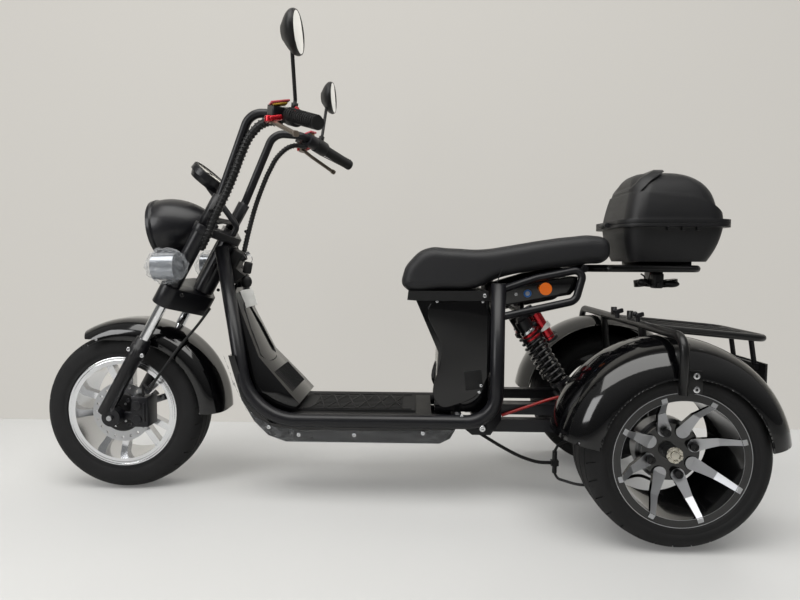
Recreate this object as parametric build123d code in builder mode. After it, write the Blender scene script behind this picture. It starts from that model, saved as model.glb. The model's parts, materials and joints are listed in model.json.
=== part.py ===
"""Electric tricycle: one steered front wheel, a step-through frame, two wide driven rear wheels.

Axes: +X forward, +Y left, +Z up.  The origin is on the floor, half way along the whole length.
Heights are above the floor; lengths handed to at() are ahead of the rear axle.
"""
import os
from math import asin, cos, degrees, radians, sin, tan

from build123d import *

os.makedirs("parts", exist_ok=True)

# ------------------------------------------------------------------ driving dimensions
wheelbase = 1529.0
tail_overhang = 385.0
rear_track = 596.0

# wheels
front_tyre_radius = 243.0
front_tyre_width = 140.0
front_rim_width = 128.0
rear_tyre_radius = 228.0
rear_tyre_width = 205.0
rear_rim_width = 182.0
bead_radius = 152.4
flange_height = 14.0
flange_thickness = 9.0
rim_wall = 7.0
tyre_fit = 0.3
shoulder_drop = 12.0
shoulder_inset = 16.0
bulge_rise = 32.0
front_hub_radius = 46.0
front_hub_width = 96.0
front_spoke_pairs = 5
front_spoke_spread = 26.0
front_spoke_start = -5.0
front_spoke_width = 20.0
front_spoke_depth = 26.0
front_axle_radius = 7.5
front_disc_radius = 90.0
front_disc_thickness = 4.0
front_disc_y = 60.0
disc_hole_radius = 4.0
rear_spoke_count = 8
rear_spoke_root = 17.0
rear_spoke_tip = 7.0
rear_spoke_start = 60.0
rear_spoke_end = 158.0
rear_spoke_depth = 13.0
rear_spoke_rise = 4.0
rear_face_inset = 23.0
rear_centre_radius = 72.0
rear_centre_depth = 22.0
rear_axle_radius = 15.0
axle_nut_radius = 20.0
axle_nut_height = 26.0
brake_drum_radius = 80.0
brake_drum_width = 36.0
brake_drum_gap = 3.0
axle_engagement = 90.0
lug_circle = 110.0
lug_radius = 10.0
lug_count = 4
lug_height = 16.0
lug_start = 18.0
stud_radius = 6.0

# fork and steering
rake = 29.2
trail = 109.0
fork_offset = 50.0
fork_half = 115.0
stanchion_radius = 15.0
stanchion_show = 117.0
fork_leg_radius = 21.0
fork_leg_length = 251.0
fork_cover_radius = 22.0
leg_lug_radius = 27.0
lower_clamp_depth = 63.0
upper_clamp_depth = 24.0
head_tube_radius = 30.0
head_tube_length = 165.0
head_tube_gap = 5.0
stem_radius = 15.0
riser_depth = 93.0
riser_radius = 19.0
bar_radius = 12.5
bar_bends = [40, 50, 38]
grip_length = 122.0
grip_radius = 17.0
grip_cap = 6.0
switch_length = 42.0
switch_radius = 24.0
cylinder_clamp = 36.0
lever_radius = 6.0
mirror_half_width = 72.0
mirror_half_height = 52.0
mirror_depth = 40.0
mirror_stem_radius = 5.0
signal_radius = 38.0
signal_length = 62.0
headlamp_radius = 88.0
headlamp_length = 176.0
headlamp_tail_radius = 18.0
headlamp_dip = 8.0
headlamp_bezel = 12.0
speedometer_radius = 57.0
speedometer_depth = 34.0
guard_radius = 282.0
guard_half = 82.0
guard_skirt = 62.0
guard_centre_back = 24.0
guard_front = 61.0
guard_rear = 180.0
caliper_back = 74.0
hose_radius = 4.0
wrap_radius = 9.0

# frame, floor and seat
rail_radius = 20.0
rail_y = 140.0
rail_bends = [170, 85]
floor_height = 262.0
floor_rise = 16.0
board_thickness = 3.7
mat_thickness = 5.0
mat_half = 98.0
mat_back = 640.0
mat_front = 985.0
cross_tube_radius = 15.0
small_tube_radius = 11.0
rail_foot_x = 1117.0
upright_x = 410.0
seat_pan_top = 618.0
seat_pan_depth = 28.0
seat_half = 128.0
seat_pan_half = 125.0
seat_base_half = 112.0
shield_half = 118.0
belly_half = 136.0
tail_cover_half = 100.0
tail_tube_end = 164.0
tail_tube_y = 110.0
rear_signal_radius = 17.0
sheet = 4.0
seat_gap = 0.3

# racks and top box
rack_rise = 65.0
rack_tube_radius = 10.0
rack_half = 95.0
rack_bar_radius = 6.0
box_foot = 20.0
box_depth = 105.0
box_wall = 4.0
box_joint = 1.0
box_centre = -82.0
box_length = 275.0
box_width = 276.0
box_lip = 18.0
box_corner = 48.0
hinge_half = 22.0
hinge_radius = 6.0
hinge_pin_radius = 3.0
rear_rack_tail = -335.0
rear_rack_half = 140.0
rack_hoop_x = 20.0
rack_hoop_gap = 16.0
plate_half = 100.0
plate_hole_radius = 3.3
plate_hole_y = 55.0
plate_thickness = 6.0
fender_gap = 58.0
fender_inner_y = 192.0
fender_outer_y = 409.0
fender_front = 8.0
fender_rear = 172.0

# rear axle and suspension
housing_radius = 32.0
motor_radius = 92.0
motor_width = 150.0
arm_y = 100.0
arm_width = 30.0
pivot_x = 452.0
pivot_radius = 8.0
shock_y = 60.0
shock_top_x = 330.0
shock_top_drop = 88.0
shock_foot_x = 190.0
shock_eye = 14.0
spring_radius = 25.0
spring_wire = 4.5
spring_turns = 8
spring_start = 62.0
spring_length = 148.0
reservoir_radius = 14.0
reservoir_offset = 45.0
reservoir_start = 2.0
reservoir_length = 88.0
battery_length = 110.0
battery_width = 180.0
battery_height = 228.0

# ------------------------------------------------------------------ places worked out from them
front_axle_x = (wheelbase + tail_overhang - front_tyre_radius) / 2
rear_axle_x = front_axle_x - wheelbase
rear_wheel_y = rear_track / 2
flange_radius = bead_radius + flange_height
rail_height = floor_height - floor_rise
seat_pan_bottom = seat_pan_top - seat_pan_depth
rack_top_height = seat_pan_top + rack_rise
box_floor = rack_top_height + box_foot
box_rim = box_floor + box_depth
fender_radius = rear_tyre_radius + fender_gap
rack_hoop_height = rear_tyre_radius + fender_radius + rack_hoop_gap
fender_face_y = fender_outer_y + sheet / 2 + seat_gap

axle_along_head = trail * sin(radians(rake)) + front_tyre_radius * cos(radians(rake))
leg_foot_height = axle_along_head - 3.3
leg_top_height = leg_foot_height + fork_leg_length
lower_clamp_height = leg_top_height + stanchion_show
lower_clamp_top = lower_clamp_height + lower_clamp_depth
head_tube_foot = lower_clamp_top + head_tube_gap
head_tube_top = head_tube_foot + head_tube_length
upper_clamp_height = head_tube_top + head_tube_gap
upper_clamp_top = upper_clamp_height + upper_clamp_depth
riser_top = upper_clamp_top + riser_depth
fit = 0.1

SIDES = (("left", 1), ("right", -1))


def at(x, y, z):
    """A place given by its distance ahead of the rear axle."""
    return Vector(rear_axle_x + x, y, z)


def by_seat(x, y, rise):
    """A place given by its rise above the seat pan."""
    return at(x, y, seat_pan_top + rise)


def by_floor(x, y, rise):
    """A place given by its rise above the floor board."""
    return at(x, y, floor_height + rise)


def by_axle(x, y, rise):
    """A place given by its rise above the rear axle."""
    return at(x, y, rear_tyre_radius + rise)


head_foot = Vector(front_axle_x + trail, 0, 0)
head_up = Vector(-sin(radians(rake)), 0, cos(radians(rake)))
head_front = Vector(cos(radians(rake)), 0, sin(radians(rake)))


def head(ahead, left, height):
    """A place in the steering head's frame: ahead of the axis, to its left and up along it."""
    return head_foot + head_front * ahead + Vector(0, left, 0) + head_up * height


def head_plane(height, ahead=0, left=0):
    """A plane square to the steering axis, its x forward and its y left."""
    return Plane(origin=head(ahead, left, height), x_dir=head_front, z_dir=head_up)


def wheel_plane(x, y, z):
    """A plane square to an axle."""
    return Plane(origin=(x, y, z), x_dir=(1, 0, 0), z_dir=(0, 1, 0))


def rod(start, end, radius):
    """Adds a straight round bar."""
    start, end = Vector(*start), Vector(*end)
    with BuildSketch(Plane(origin=start, z_dir=end - start)) as section:
        Circle(radius)
    extrude(section.sketch, amount=(end - start).length)


def pipe(points, bends, radius, mode=Mode.ADD):
    """Adds a bent round tube: straight runs joined by tangent arcs."""
    with BuildLine() as route:
        FilletPolyline(*points, radius=bends)
    with BuildSketch(Plane(origin=route.line @ 0, z_dir=route.line % 0)) as section:
        Circle(radius)
    sweep(section.sketch, path=route.line, mode=mode)


def hose(points, radius):
    """Adds a soft tube whose bends are as large as its runs allow."""
    points = [Vector(*point) for point in points]
    bends = []
    for before, corner, after in zip(points, points[1:], points[2:]):
        turn = (corner - before).get_angle(after - corner)
        shorter = min((corner - before).length, (after - corner).length)
        bends.append(0.45 * shorter / tan(radians(turn / 2)))
    pipe(points, bends, radius)


def block(lowest, highest):
    """Adds a box between two corners."""
    size = Vector(*highest) - Vector(*lowest)
    middle = (Vector(*highest) + Vector(*lowest)) * 0.5
    with Locations(middle):
        Box(abs(size.X), abs(size.Y), abs(size.Z))


def side_sketch(points, y):
    """A closed side-view outline, as (ahead of the rear axle, height) pairs, on the plane at y."""
    with BuildSketch(Plane(origin=(0, y, 0), x_dir=(1, 0, 0), z_dir=(0, -1, 0))) as outline:
        with BuildLine():
            Polyline(*[(rear_axle_x + x, z) for x, z in points], close=True)
        make_face()
    return outline.sketch


def slab(points, y_from, y_to, base=0.0, mode=Mode.ADD):
    """Adds or cuts a side-view outline, its heights above base, between two distances from the middle."""
    raised = [(x, z + base) for x, z in points]
    extrude(side_sketch(raised, y_to), amount=y_to - y_from, mode=mode)


def ring(x, y, z, profile, mode=Mode.ADD):
    """Adds or keeps a turned ring about an axle: profile is (along the axle, radius) pairs."""
    with BuildSketch(Plane.YZ.offset(x)) as section:
        with BuildLine():
            Polyline(*[(y + along, z + radius) for along, radius in profile], close=True)
        make_face()
    revolve(section.sketch, axis=Axis((x, y, z), (0, 1, 0)), mode=mode)


def circle_on(plane, radius):
    """A round face on a plane."""
    with BuildSketch(plane) as face:
        Circle(radius)
    return face.sketch


def drum(x, y, z, radius, length):
    """Adds a plain disc about an axle, centred at y."""
    extrude(circle_on(wheel_plane(x, y - length / 2, z), radius), amount=length)


def arch(x, z, section_points, start, finish):
    """Adds a sheet arch about an axle: section_points are (across, radius), start and finish
    are angles above straight ahead."""
    ray = Vector(cos(radians(start)), 0, sin(radians(start)))
    plane = Plane(origin=(x, 0, z), x_dir=(0, 1, 0), z_dir=Vector(0, 1, 0).cross(ray))
    with BuildSketch(plane) as section:
        with BuildLine():
            Spline(*section_points)
        trace(line_width=sheet)
    revolve(section.sketch, axis=Axis((x, 0, z), (0, -1, 0)), revolution_arc=finish - start)


# ------------------------------------------------------------------ tyres and rims
def tyre(x, y, radius, width, rim_width):
    """Adds a tyre: bead, bulging sidewall, rounded shoulder and crown."""
    half = width / 2
    bead = rim_width / 2 - flange_thickness - tyre_fit
    shoulder = half - shoulder_inset
    seat = bead_radius + tyre_fit
    rim_edge = flange_radius + 1
    with BuildSketch(Plane.YZ.offset(x)) as section:
        with BuildLine():
            for hand in (1, -1):
                Polyline(
                    (y, radius + seat),
                    (y + hand * bead, radius + seat),
                    (y + hand * bead, radius + rim_edge),
                )
                ThreePointArc(
                    (y + hand * bead, radius + rim_edge),
                    (y + hand * half, radius + flange_radius + bulge_rise),
                    (y + hand * shoulder, 2 * radius - shoulder_drop),
                )
                ThreePointArc(
                    (y + hand * shoulder, 2 * radius - shoulder_drop),
                    (y + hand * shoulder / 2, 2 * radius - shoulder_drop / 4),
                    (y, 2 * radius),
                )
        make_face()
    revolve(section.sketch, axis=Axis((x, y, radius), (0, 1, 0)))


def barrel(x, y, z, width):
    """Adds a rim's barrel with its two flanges."""
    half = width / 2
    inner = bead_radius - rim_wall
    ring(
        x,
        y,
        z,
        [
            (-half, flange_radius),
            (-half + flange_thickness, flange_radius),
            (-half + flange_thickness, bead_radius),
            (half - flange_thickness, bead_radius),
            (half - flange_thickness, flange_radius),
            (half, flange_radius),
            (half, inner),
            (-half, inner),
        ],
    )


with BuildPart() as front_tyre:
    tyre(front_axle_x, 0, front_tyre_radius, front_tyre_width, front_rim_width)
front_tyre.part.label = "front_tyre"
export_step(front_tyre.part, "parts/front_tyre.step")

spoke_reach = bead_radius - rim_wall / 2
with BuildPart() as front_rim:
    barrel(front_axle_x, 0, front_tyre_radius, front_rim_width)
    drum(front_axle_x, 0, front_tyre_radius, front_hub_radius, front_hub_width)
    with BuildSketch(wheel_plane(front_axle_x, -front_spoke_depth / 2, front_tyre_radius)):
        for hand in (-0.5, 0.5):
            start = front_spoke_start + hand * front_spoke_spread
            with PolarLocations(spoke_reach / 2, front_spoke_pairs, start_angle=start):
                Rectangle(spoke_reach, front_spoke_width)
    extrude(amount=front_spoke_depth)
    with BuildSketch(wheel_plane(front_axle_x, -front_hub_width, front_tyre_radius)):
        Circle(front_axle_radius + fit)
    extrude(amount=2 * front_hub_width, mode=Mode.SUBTRACT)
front_rim.part.label = "front_rim"
export_step(front_rim.part, "parts/front_rim.step")

with BuildPart() as front_disc:
    with BuildSketch(wheel_plane(front_axle_x, front_disc_y, front_tyre_radius)):
        Circle(front_disc_radius)
        Circle(front_hub_radius - 6, mode=Mode.SUBTRACT)
        with PolarLocations(front_disc_radius - 3 * disc_hole_radius, 20):
            Circle(disc_hole_radius, mode=Mode.SUBTRACT)
    extrude(amount=front_disc_thickness)
    with BuildSketch(wheel_plane(front_axle_x, front_hub_width / 2, front_tyre_radius)):
        Circle(front_hub_radius + 6)
        Circle(front_hub_radius - 14, mode=Mode.SUBTRACT)
    extrude(amount=front_disc_y - front_hub_width / 2)
front_disc.part.label = "front_brake_disc"
export_step(front_disc.part, "parts/front_brake_disc.step")


def lug_faces(plane, radius):
    """The round faces of one wheel's studs, on a plane square to the axle."""
    with BuildSketch(plane) as faces:
        with PolarLocations(lug_circle / 2, lug_count, start_angle=lug_start):
            Circle(radius)
    return faces.sketch


def fin_faces(plane, hand):
    """The spokes' fin-shaped faces: one straight edge, one hollow edge and a round root."""
    with BuildSketch() as fin:
        with BuildLine():
            Polyline(
                (rear_spoke_start, hand * rear_spoke_root),
                (rear_spoke_end, hand * rear_spoke_tip),
                (rear_spoke_end, -hand * rear_spoke_tip),
            )
            ThreePointArc(
                (rear_spoke_end, -hand * rear_spoke_tip),
                ((rear_spoke_start + rear_spoke_end) / 2, -hand * (rear_spoke_tip + 1)),
                (rear_spoke_start, -hand * rear_spoke_root),
            )
            ThreePointArc(
                (rear_spoke_start, -hand * rear_spoke_root),
                (rear_spoke_start - rear_spoke_root, 0),
                (rear_spoke_start, hand * rear_spoke_root),
            )
        make_face()
    with BuildSketch(plane) as faces:
        with PolarLocations(0, rear_spoke_count, start_angle=lug_start):
            add(fin.sketch)
    return faces.sketch


for side, hand in SIDES:
    wheel_y = hand * rear_wheel_y
    face_y = wheel_y + hand * rear_face_inset
    centre_y = face_y - hand * rear_centre_depth
    inner_plane = wheel_plane(rear_axle_x, centre_y, rear_tyre_radius)
    outer_plane = wheel_plane(rear_axle_x, face_y, rear_tyre_radius)
    spoke_face = rear_face_inset + rear_spoke_rise
    rim_face = rear_rim_width / 2 + 1
    dish = [
        (spoke_face, 0),
        (spoke_face, rear_spoke_start),
        (spoke_face + 0.38 * (rim_face - spoke_face), rear_spoke_start + 50),
        (rim_face, flange_radius - 19),
        (rim_face, rear_spoke_end),
    ]
    for along, radius in reversed(dish[:]):
        thickness = flange_thickness if along == rim_face else rear_spoke_depth
        dish.append((along - thickness, radius))
    through = hand * (rear_centre_depth + rear_spoke_rise)

    with BuildPart() as rear_tyre:
        tyre(rear_axle_x, wheel_y, rear_tyre_radius, rear_tyre_width, rear_rim_width)
    rear_tyre.part.label = f"rear_tyre_{side}"
    export_step(rear_tyre.part, f"parts/rear_tyre_{side}.step")

    with BuildPart() as fins:
        fin_plane = wheel_plane(rear_axle_x, wheel_y, rear_tyre_radius)
        extrude(fin_faces(fin_plane, hand), amount=hand * rear_rim_width)
        turned = [(hand * along, radius) for along, radius in dish]
        ring(rear_axle_x, wheel_y, rear_tyre_radius, turned, Mode.INTERSECT)

    with BuildPart() as rear_rim:
        barrel(rear_axle_x, wheel_y, rear_tyre_radius, rear_rim_width)
        extrude(circle_on(inner_plane, rear_centre_radius), amount=hand * rear_centre_depth)
        add(fins.part)
        extrude(lug_faces(inner_plane, stud_radius + fit), amount=through, mode=Mode.SUBTRACT)
        extrude(lug_faces(outer_plane, lug_radius + 1), amount=through, mode=Mode.SUBTRACT)
        extrude(circle_on(inner_plane, rear_axle_radius + fit), amount=through, mode=Mode.SUBTRACT)
        extrude(circle_on(outer_plane, axle_nut_radius + 1), amount=through, mode=Mode.SUBTRACT)
    rear_rim.part.label = f"rear_rim_{side}"
    export_step(rear_rim.part, f"parts/rear_rim_{side}.step")

    with BuildPart() as rear_hub:
        shaft_length = brake_drum_width + axle_engagement
        extrude(circle_on(inner_plane, brake_drum_radius), amount=-hand * brake_drum_width)
        extrude(circle_on(inner_plane, rear_axle_radius), amount=-hand * shaft_length)
        extrude(
            circle_on(inner_plane, rear_axle_radius),
            amount=hand * (rear_centre_depth + axle_nut_height),
        )
        extrude(circle_on(outer_plane, axle_nut_radius), amount=hand * axle_nut_height)
        extrude(lug_faces(inner_plane, stud_radius), amount=hand * (rear_centre_depth + lug_height))
        extrude(lug_faces(outer_plane, lug_radius), amount=hand * lug_height)
    rear_hub.part.label = f"rear_hub_{side}"
    export_step(rear_hub.part, f"parts/rear_hub_{side}.step")

# ------------------------------------------------------------------ fork and clamps
clamp_wall = 9.0
axle_end = fork_half + fork_leg_radius + 6

with BuildPart() as lower_clamp:
    with BuildSketch(head_plane(lower_clamp_height)):
        with Locations((fork_offset, fork_half), (fork_offset, -fork_half)):
            Circle(fork_cover_radius + clamp_wall)
        Circle(head_tube_radius + 12)
        make_hull()
    extrude(amount=lower_clamp_depth)
    rod(head(0, 0, lower_clamp_top), head(0, 0, upper_clamp_height), stem_radius)
lower_clamp.part.label = "lower_fork_clamp"
export_step(lower_clamp.part, "parts/lower_fork_clamp.step")

with BuildPart() as upper_clamp:
    for side, hand in SIDES:
        with BuildSketch(head_plane(upper_clamp_height)):
            with Locations((fork_offset, hand * fork_half)):
                Circle(fork_cover_radius + clamp_wall / 2)
            Circle(head_tube_radius)
            make_hull()
        extrude(amount=upper_clamp_depth)
upper_clamp.part.label = "upper_fork_clamp"
export_step(upper_clamp.part, "parts/upper_fork_clamp.step")

with BuildPart() as front_axle:
    rod(
        (front_axle_x, -axle_end, front_tyre_radius),
        (front_axle_x, axle_end, front_tyre_radius),
        front_axle_radius,
    )
front_axle.part.label = "front_axle"
export_step(front_axle.part, "parts/front_axle.step")

leg_lug_width = 2 * fork_leg_radius - 8
with BuildPart() as fork_legs:
    for side, hand in SIDES:
        leg_y = hand * fork_half
        leg_top = head(fork_offset, leg_y, leg_top_height)
        rod(head(fork_offset, leg_y, leg_foot_height), leg_top, fork_leg_radius)
        rod(leg_top - head_up * 60, leg_top - head_up * 20, fork_leg_radius + 4)
        drum(front_axle_x, leg_y, front_tyre_radius, leg_lug_radius, leg_lug_width)
    extrude(
        circle_on(wheel_plane(front_axle_x, 0, front_tyre_radius), front_axle_radius + fit),
        amount=2 * fork_half,
        both=True,
        mode=Mode.SUBTRACT,
    )
fork_legs.part.label = "fork_legs"
export_step(fork_legs.part, "parts/fork_legs.step")

with BuildPart() as stanchions:
    for side, hand in SIDES:
        rod(
            head(fork_offset, hand * fork_half, leg_top_height),
            head(fork_offset, hand * fork_half, lower_clamp_height),
            stanchion_radius,
        )
stanchions.part.label = "fork_stanchions"
export_step(stanchions.part, "parts/fork_stanchions.step")

with BuildPart() as fork_covers:
    for side, hand in SIDES:
        rod(
            head(fork_offset, hand * fork_half, lower_clamp_top),
            head(fork_offset, hand * fork_half, upper_clamp_height),
            fork_cover_radius,
        )
fork_covers.part.label = "fork_covers"
export_step(fork_covers.part, "parts/fork_covers.step")

# ------------------------------------------------------------------ handlebar and controls
bar_points = [(-95, 17, 229), (-185, 25, 223), (-315, 199, 158)]
bar_reach = 20.0


def bar_places(hand):
    """The bar's riser end, its bends and its tip on one side."""
    riser_end = head(fork_offset, hand * fork_half, riser_top)
    return [riser_end] + [riser_end + Vector(x, hand * y, z) for x, y, z in bar_points]


def along_bar(hand):
    """The direction of the bar's straight end, toward its tip."""
    places = bar_places(hand)
    return (places[-1] - places[-2]).normalized()


def over_bar(hand):
    """The upward direction square to the bar's straight end."""
    along = along_bar(hand)
    return (Vector(0, 0, 1) - along * along.Z).normalized()


def ahead_of_bar(hand):
    """The forward direction square to the bar's straight end."""
    return over_bar(hand).cross(along_bar(hand)) * -hand


def on_bar(hand, start, up=0, ahead=0):
    """A place by the bar, start measured in from its tip."""
    axis_place = bar_places(hand)[-1] - along_bar(hand) * start
    return axis_place + over_bar(hand) * up + ahead_of_bar(hand) * ahead


def sleeve(hand, start, length, radius):
    """Adds a sleeve on the bar's straight end; start is measured in from its tip."""
    with BuildSketch(Plane(origin=on_bar(hand, start), z_dir=along_bar(hand))) as section:
        Circle(radius)
        Circle(bar_radius + fit, mode=Mode.SUBTRACT)
    extrude(section.sketch, amount=length)


lamp_pivot_height = head_tube_top + 51
lamp_reach = 22.0
lamp_ahead = Vector(cos(radians(headlamp_dip)), 0, -sin(radians(headlamp_dip)))
lamp_tail = head(fork_offset, 0, lamp_pivot_height) + lamp_ahead * lamp_reach
with BuildPart() as handlebar:
    for side, hand in SIDES:
        places = bar_places(hand)
        rod(head(fork_offset, hand * fork_half, upper_clamp_top), places[0], riser_radius)
        pipe(
            [places[0] - head_up * bar_reach, places[0] + head_up * bar_reach / 2] + places[1:],
            bar_bends,
            bar_radius,
        )
    rod(
        head(fork_offset, -fork_half, lamp_pivot_height),
        head(fork_offset, fork_half, lamp_pivot_height),
        8,
    )
    rod(head(fork_offset, 0, lamp_pivot_height), lamp_tail - lamp_ahead * seat_gap, 9)
handlebar.part.label = "handlebar"
export_step(handlebar.part, "parts/handlebar.step")

with BuildPart() as grips:
    for side, hand in SIDES:
        sleeve(hand, grip_length, grip_length, grip_radius)
        tip_plane = Plane(origin=bar_places(hand)[-1], z_dir=along_bar(hand))
        extrude(circle_on(tip_plane, grip_radius), amount=grip_cap)
        rod(on_bar(hand, grip_length), on_bar(hand, grip_length - 4), grip_radius + 4)
        extrude(
            circle_on(tip_plane, bar_radius + fit), amount=-grip_length - 1, mode=Mode.SUBTRACT
        )
grips.part.label = "grips"
export_step(grips.part, "parts/grips.step")

control_gap = 1.0
switch_start = grip_length + control_gap
cylinder_start = switch_start + switch_length + control_gap
with BuildPart() as switches:
    for side, hand in SIDES:
        sleeve(hand, switch_start + switch_length, switch_length, switch_radius)
switches.part.label = "switch_housings"
export_step(switches.part, "parts/switch_housings.step")

tank_ahead = 32.0
tank_length = 46.0
tank_width = 34.0
tank_height = 26.0
with BuildPart() as cylinders:
    for side, hand in SIDES:
        middle = cylinder_start + cylinder_clamp / 2
        sleeve(hand, cylinder_start + cylinder_clamp, cylinder_clamp, switch_radius - 2)
        rod(on_bar(hand, middle, 0, switch_radius - 8), on_bar(hand, middle, 0, tank_ahead), 12)
        tank_foot = on_bar(hand, middle + 6, -6, tank_ahead)
        with BuildSketch(Plane(origin=tank_foot, x_dir=along_bar(hand), z_dir=over_bar(hand))) as tank:
            RectangleRounded(tank_length, tank_width, 5)
        extrude(tank.sketch, amount=tank_height)
cylinders.part.label = "brake_cylinders"
export_step(cylinders.part, "parts/brake_cylinders.step")

with BuildPart() as levers:
    for side, hand in SIDES:
        root = on_bar(hand, cylinder_start + 12, -20, tank_ahead + 12)
        elbow = on_bar(hand, switch_start + 4, -24, tank_ahead + 16)
        tip = on_bar(hand, 30, -34, tank_ahead + 10)
        pipe([root, elbow, tip], 40, lever_radius)
        rod(root + over_bar(hand) * 13.7, root - over_bar(hand) * 8, lever_radius + 4)
        rod(tip, tip + along_bar(hand) * 10, lever_radius + 2)
levers.part.label = "brake_levers"
export_step(levers.part, "parts/brake_levers.step")

mirror_out = (49, -22, 226)
with BuildPart() as mirrors:
    for side, hand in SIDES:
        up = over_bar(hand)
        foot = on_bar(hand, switch_start + switch_length / 2, switch_radius + seat_gap)
        x, y, z = mirror_out
        glass = bar_places(hand)[-1] + Vector(x, hand * y, z)
        neck = glass + Vector(20, -hand * 12, -20)
        rod(foot, foot + up * 12, mirror_stem_radius + 4)
        pipe([foot, foot + up * 20, neck], 12, mirror_stem_radius)
        glass_plane = Plane(origin=glass, x_dir=(0, 1, 0), z_dir=(1, 0, 0))
        rims = []
        for depth, share in ((0, 0.97), (5, 1.0), (mirror_depth * 0.6, 0.8), (mirror_depth, 0.36)):
            with BuildSketch(glass_plane.offset(depth)) as rim:
                Ellipse(mirror_half_width * share, mirror_half_height * share)
            rims.append(rim.sketch)
        loft(rims)
mirrors.part.label = "mirrors"
export_step(mirrors.part, "parts/mirrors.step")

signal_y = fork_half + 63
signal_height = lower_clamp_top + 60
with BuildPart() as signals:
    for side, hand in SIDES:
        middle = head(fork_offset + 8, hand * signal_y, signal_height)
        extrude(circle_on(Plane(origin=middle - Vector(20, 0, 0), z_dir=(1, 0, 0)), signal_radius), amount=signal_length)
        cover = head(fork_offset, hand * (fork_half + fork_cover_radius + seat_gap), signal_height)
        rod(cover, head(fork_offset, hand * signal_y, signal_height), 6)
signals.part.label = "front_indicators"
export_step(signals.part, "parts/front_indicators.step")

with BuildPart() as headlamp:
    lamp_plane = Plane(origin=lamp_tail, x_dir=lamp_ahead, z_dir=(0, 1, 0))
    with BuildSketch(lamp_plane) as shell:
        with BuildLine():
            Polyline((0, headlamp_tail_radius), (0, 0), (headlamp_length - 20, 0))
            Polyline(
                (headlamp_length - 20, 0),
                (headlamp_length - 20, headlamp_radius - headlamp_bezel),
                (headlamp_length, headlamp_radius - headlamp_bezel),
                (headlamp_length, headlamp_radius),
                (headlamp_length - 14, headlamp_radius + 2),
                (headlamp_length - 18, headlamp_radius - 1),
            )
            Spline(
                (headlamp_length - 18, headlamp_radius - 1),
                (headlamp_length * 0.55, headlamp_radius * 0.93),
                (headlamp_length * 0.2, headlamp_radius * 0.58),
                (0, headlamp_tail_radius),
            )
        make_face()
    revolve(shell.sketch, axis=Axis(lamp_tail, lamp_ahead))
headlamp.part.label = "headlamp"
export_step(headlamp.part, "parts/headlamp.step")

lens_radius = headlamp_radius - headlamp_bezel - seat_gap
lens_rise = 12.0
lens_curve = (lens_radius**2 + lens_rise**2) / (2 * lens_rise)
with BuildPart() as lens:
    with BuildSketch(lamp_plane) as dome:
        with BuildLine():
            Polyline(
                (headlamp_length + lens_rise, 0),
                (headlamp_length - 14, 0),
                (headlamp_length - 14, lens_radius),
                (headlamp_length, lens_radius),
            )
            CenterArc(
                (headlamp_length + lens_rise - lens_curve, 0),
                lens_curve,
                0,
                degrees(asin(lens_radius / lens_curve)),
            )
        make_face()
    revolve(dome.sketch, axis=Axis(lamp_tail, lamp_ahead))
lens.part.label = "headlamp_lens"
export_step(lens.part, "parts/headlamp_lens.step")

dial_place = head(146, 0, upper_clamp_top + 128)
dial_facing = Vector(-0.65, 0, 0.76)
with BuildPart() as speedometer:
    dial = Plane(origin=dial_place, x_dir=(0, 1, 0), z_dir=dial_facing)
    extrude(circle_on(dial, speedometer_radius), amount=-speedometer_depth / 2)
    lower_dial = dial.offset(-speedometer_depth / 2)
    extrude(circle_on(lower_dial, speedometer_radius - 4), amount=-speedometer_depth / 2, taper=25)
    pipe(
        [
            head(0, 0, upper_clamp_top + 0.2),
            head(0, 0, upper_clamp_top + 30),
            dial_place - dial_facing * (speedometer_depth - 6),
        ],
        20,
        9,
    )
speedometer.part.label = "speedometer"
export_step(speedometer.part, "parts/speedometer.step")

with BuildPart() as cables:
    for side, hand in SIDES:
        riser_end, crest, back, tip = bar_places(hand)
        lift = bar_radius + wrap_radius + seat_gap
        foot = head(fork_offset - riser_radius - wrap_radius - seat_gap, hand * fork_half, upper_clamp_top + 8)
        hose(
            [
                foot,
                head(fork_offset - 34, hand * (fork_half - 2), riser_top - 20),
                crest + Vector(-34, -hand * 4, -46),
                crest + Vector(-56, -hand * 2, -28),
                back + Vector(14, hand * 2, -lift - 4),
                on_bar(hand, cylinder_start + cylinder_clamp + 5, -lift),
            ],
            wrap_radius,
        )
cables.part.label = "bar_cables"
export_step(cables.part, "parts/bar_cables.step")

# ------------------------------------------------------------------ front mudguard, brake
guard_x = front_axle_x - guard_centre_back
guard_section = [
    (-guard_half, guard_radius - guard_skirt),
    (-guard_half + 2, guard_radius - guard_skirt / 2),
    (-guard_half * 0.72, guard_radius - 9),
    (0, guard_radius),
    (guard_half * 0.72, guard_radius - 9),
    (guard_half - 2, guard_radius - guard_skirt / 2),
    (guard_half, guard_radius - guard_skirt),
]


def guard_place(radius, angle):
    """A side-view point on the mudguard, as ahead of the rear axle and height."""
    turn = radians(angle)
    return (guard_x - rear_axle_x + radius * cos(turn), front_tyre_radius + radius * sin(turn))


with BuildPart() as mudguard:
    arch(guard_x, front_tyre_radius, guard_section, guard_front, guard_rear)
    skirt_foot = guard_radius - guard_skirt - sheet
    slab(
        [
            guard_place(skirt_foot - 8, guard_front - 8),
            guard_place(guard_radius - 16, guard_front - 4),
            guard_place(skirt_foot + 4, guard_front + 30),
            guard_place(skirt_foot - 12, guard_front + 20),
        ],
        -guard_half - sheet,
        guard_half + sheet,
        0,
        Mode.SUBTRACT,
    )
    stay_height = leg_top_height - 9
    for hand in (-1, 1):
        rod(
            head(fork_offset, hand * (guard_half - sheet / 2), stay_height),
            head(fork_offset, hand * (fork_half - fork_leg_radius - seat_gap), stay_height),
            8,
        )
mudguard.part.label = "front_mudguard"
export_step(mudguard.part, "parts/front_mudguard.step")

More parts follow.
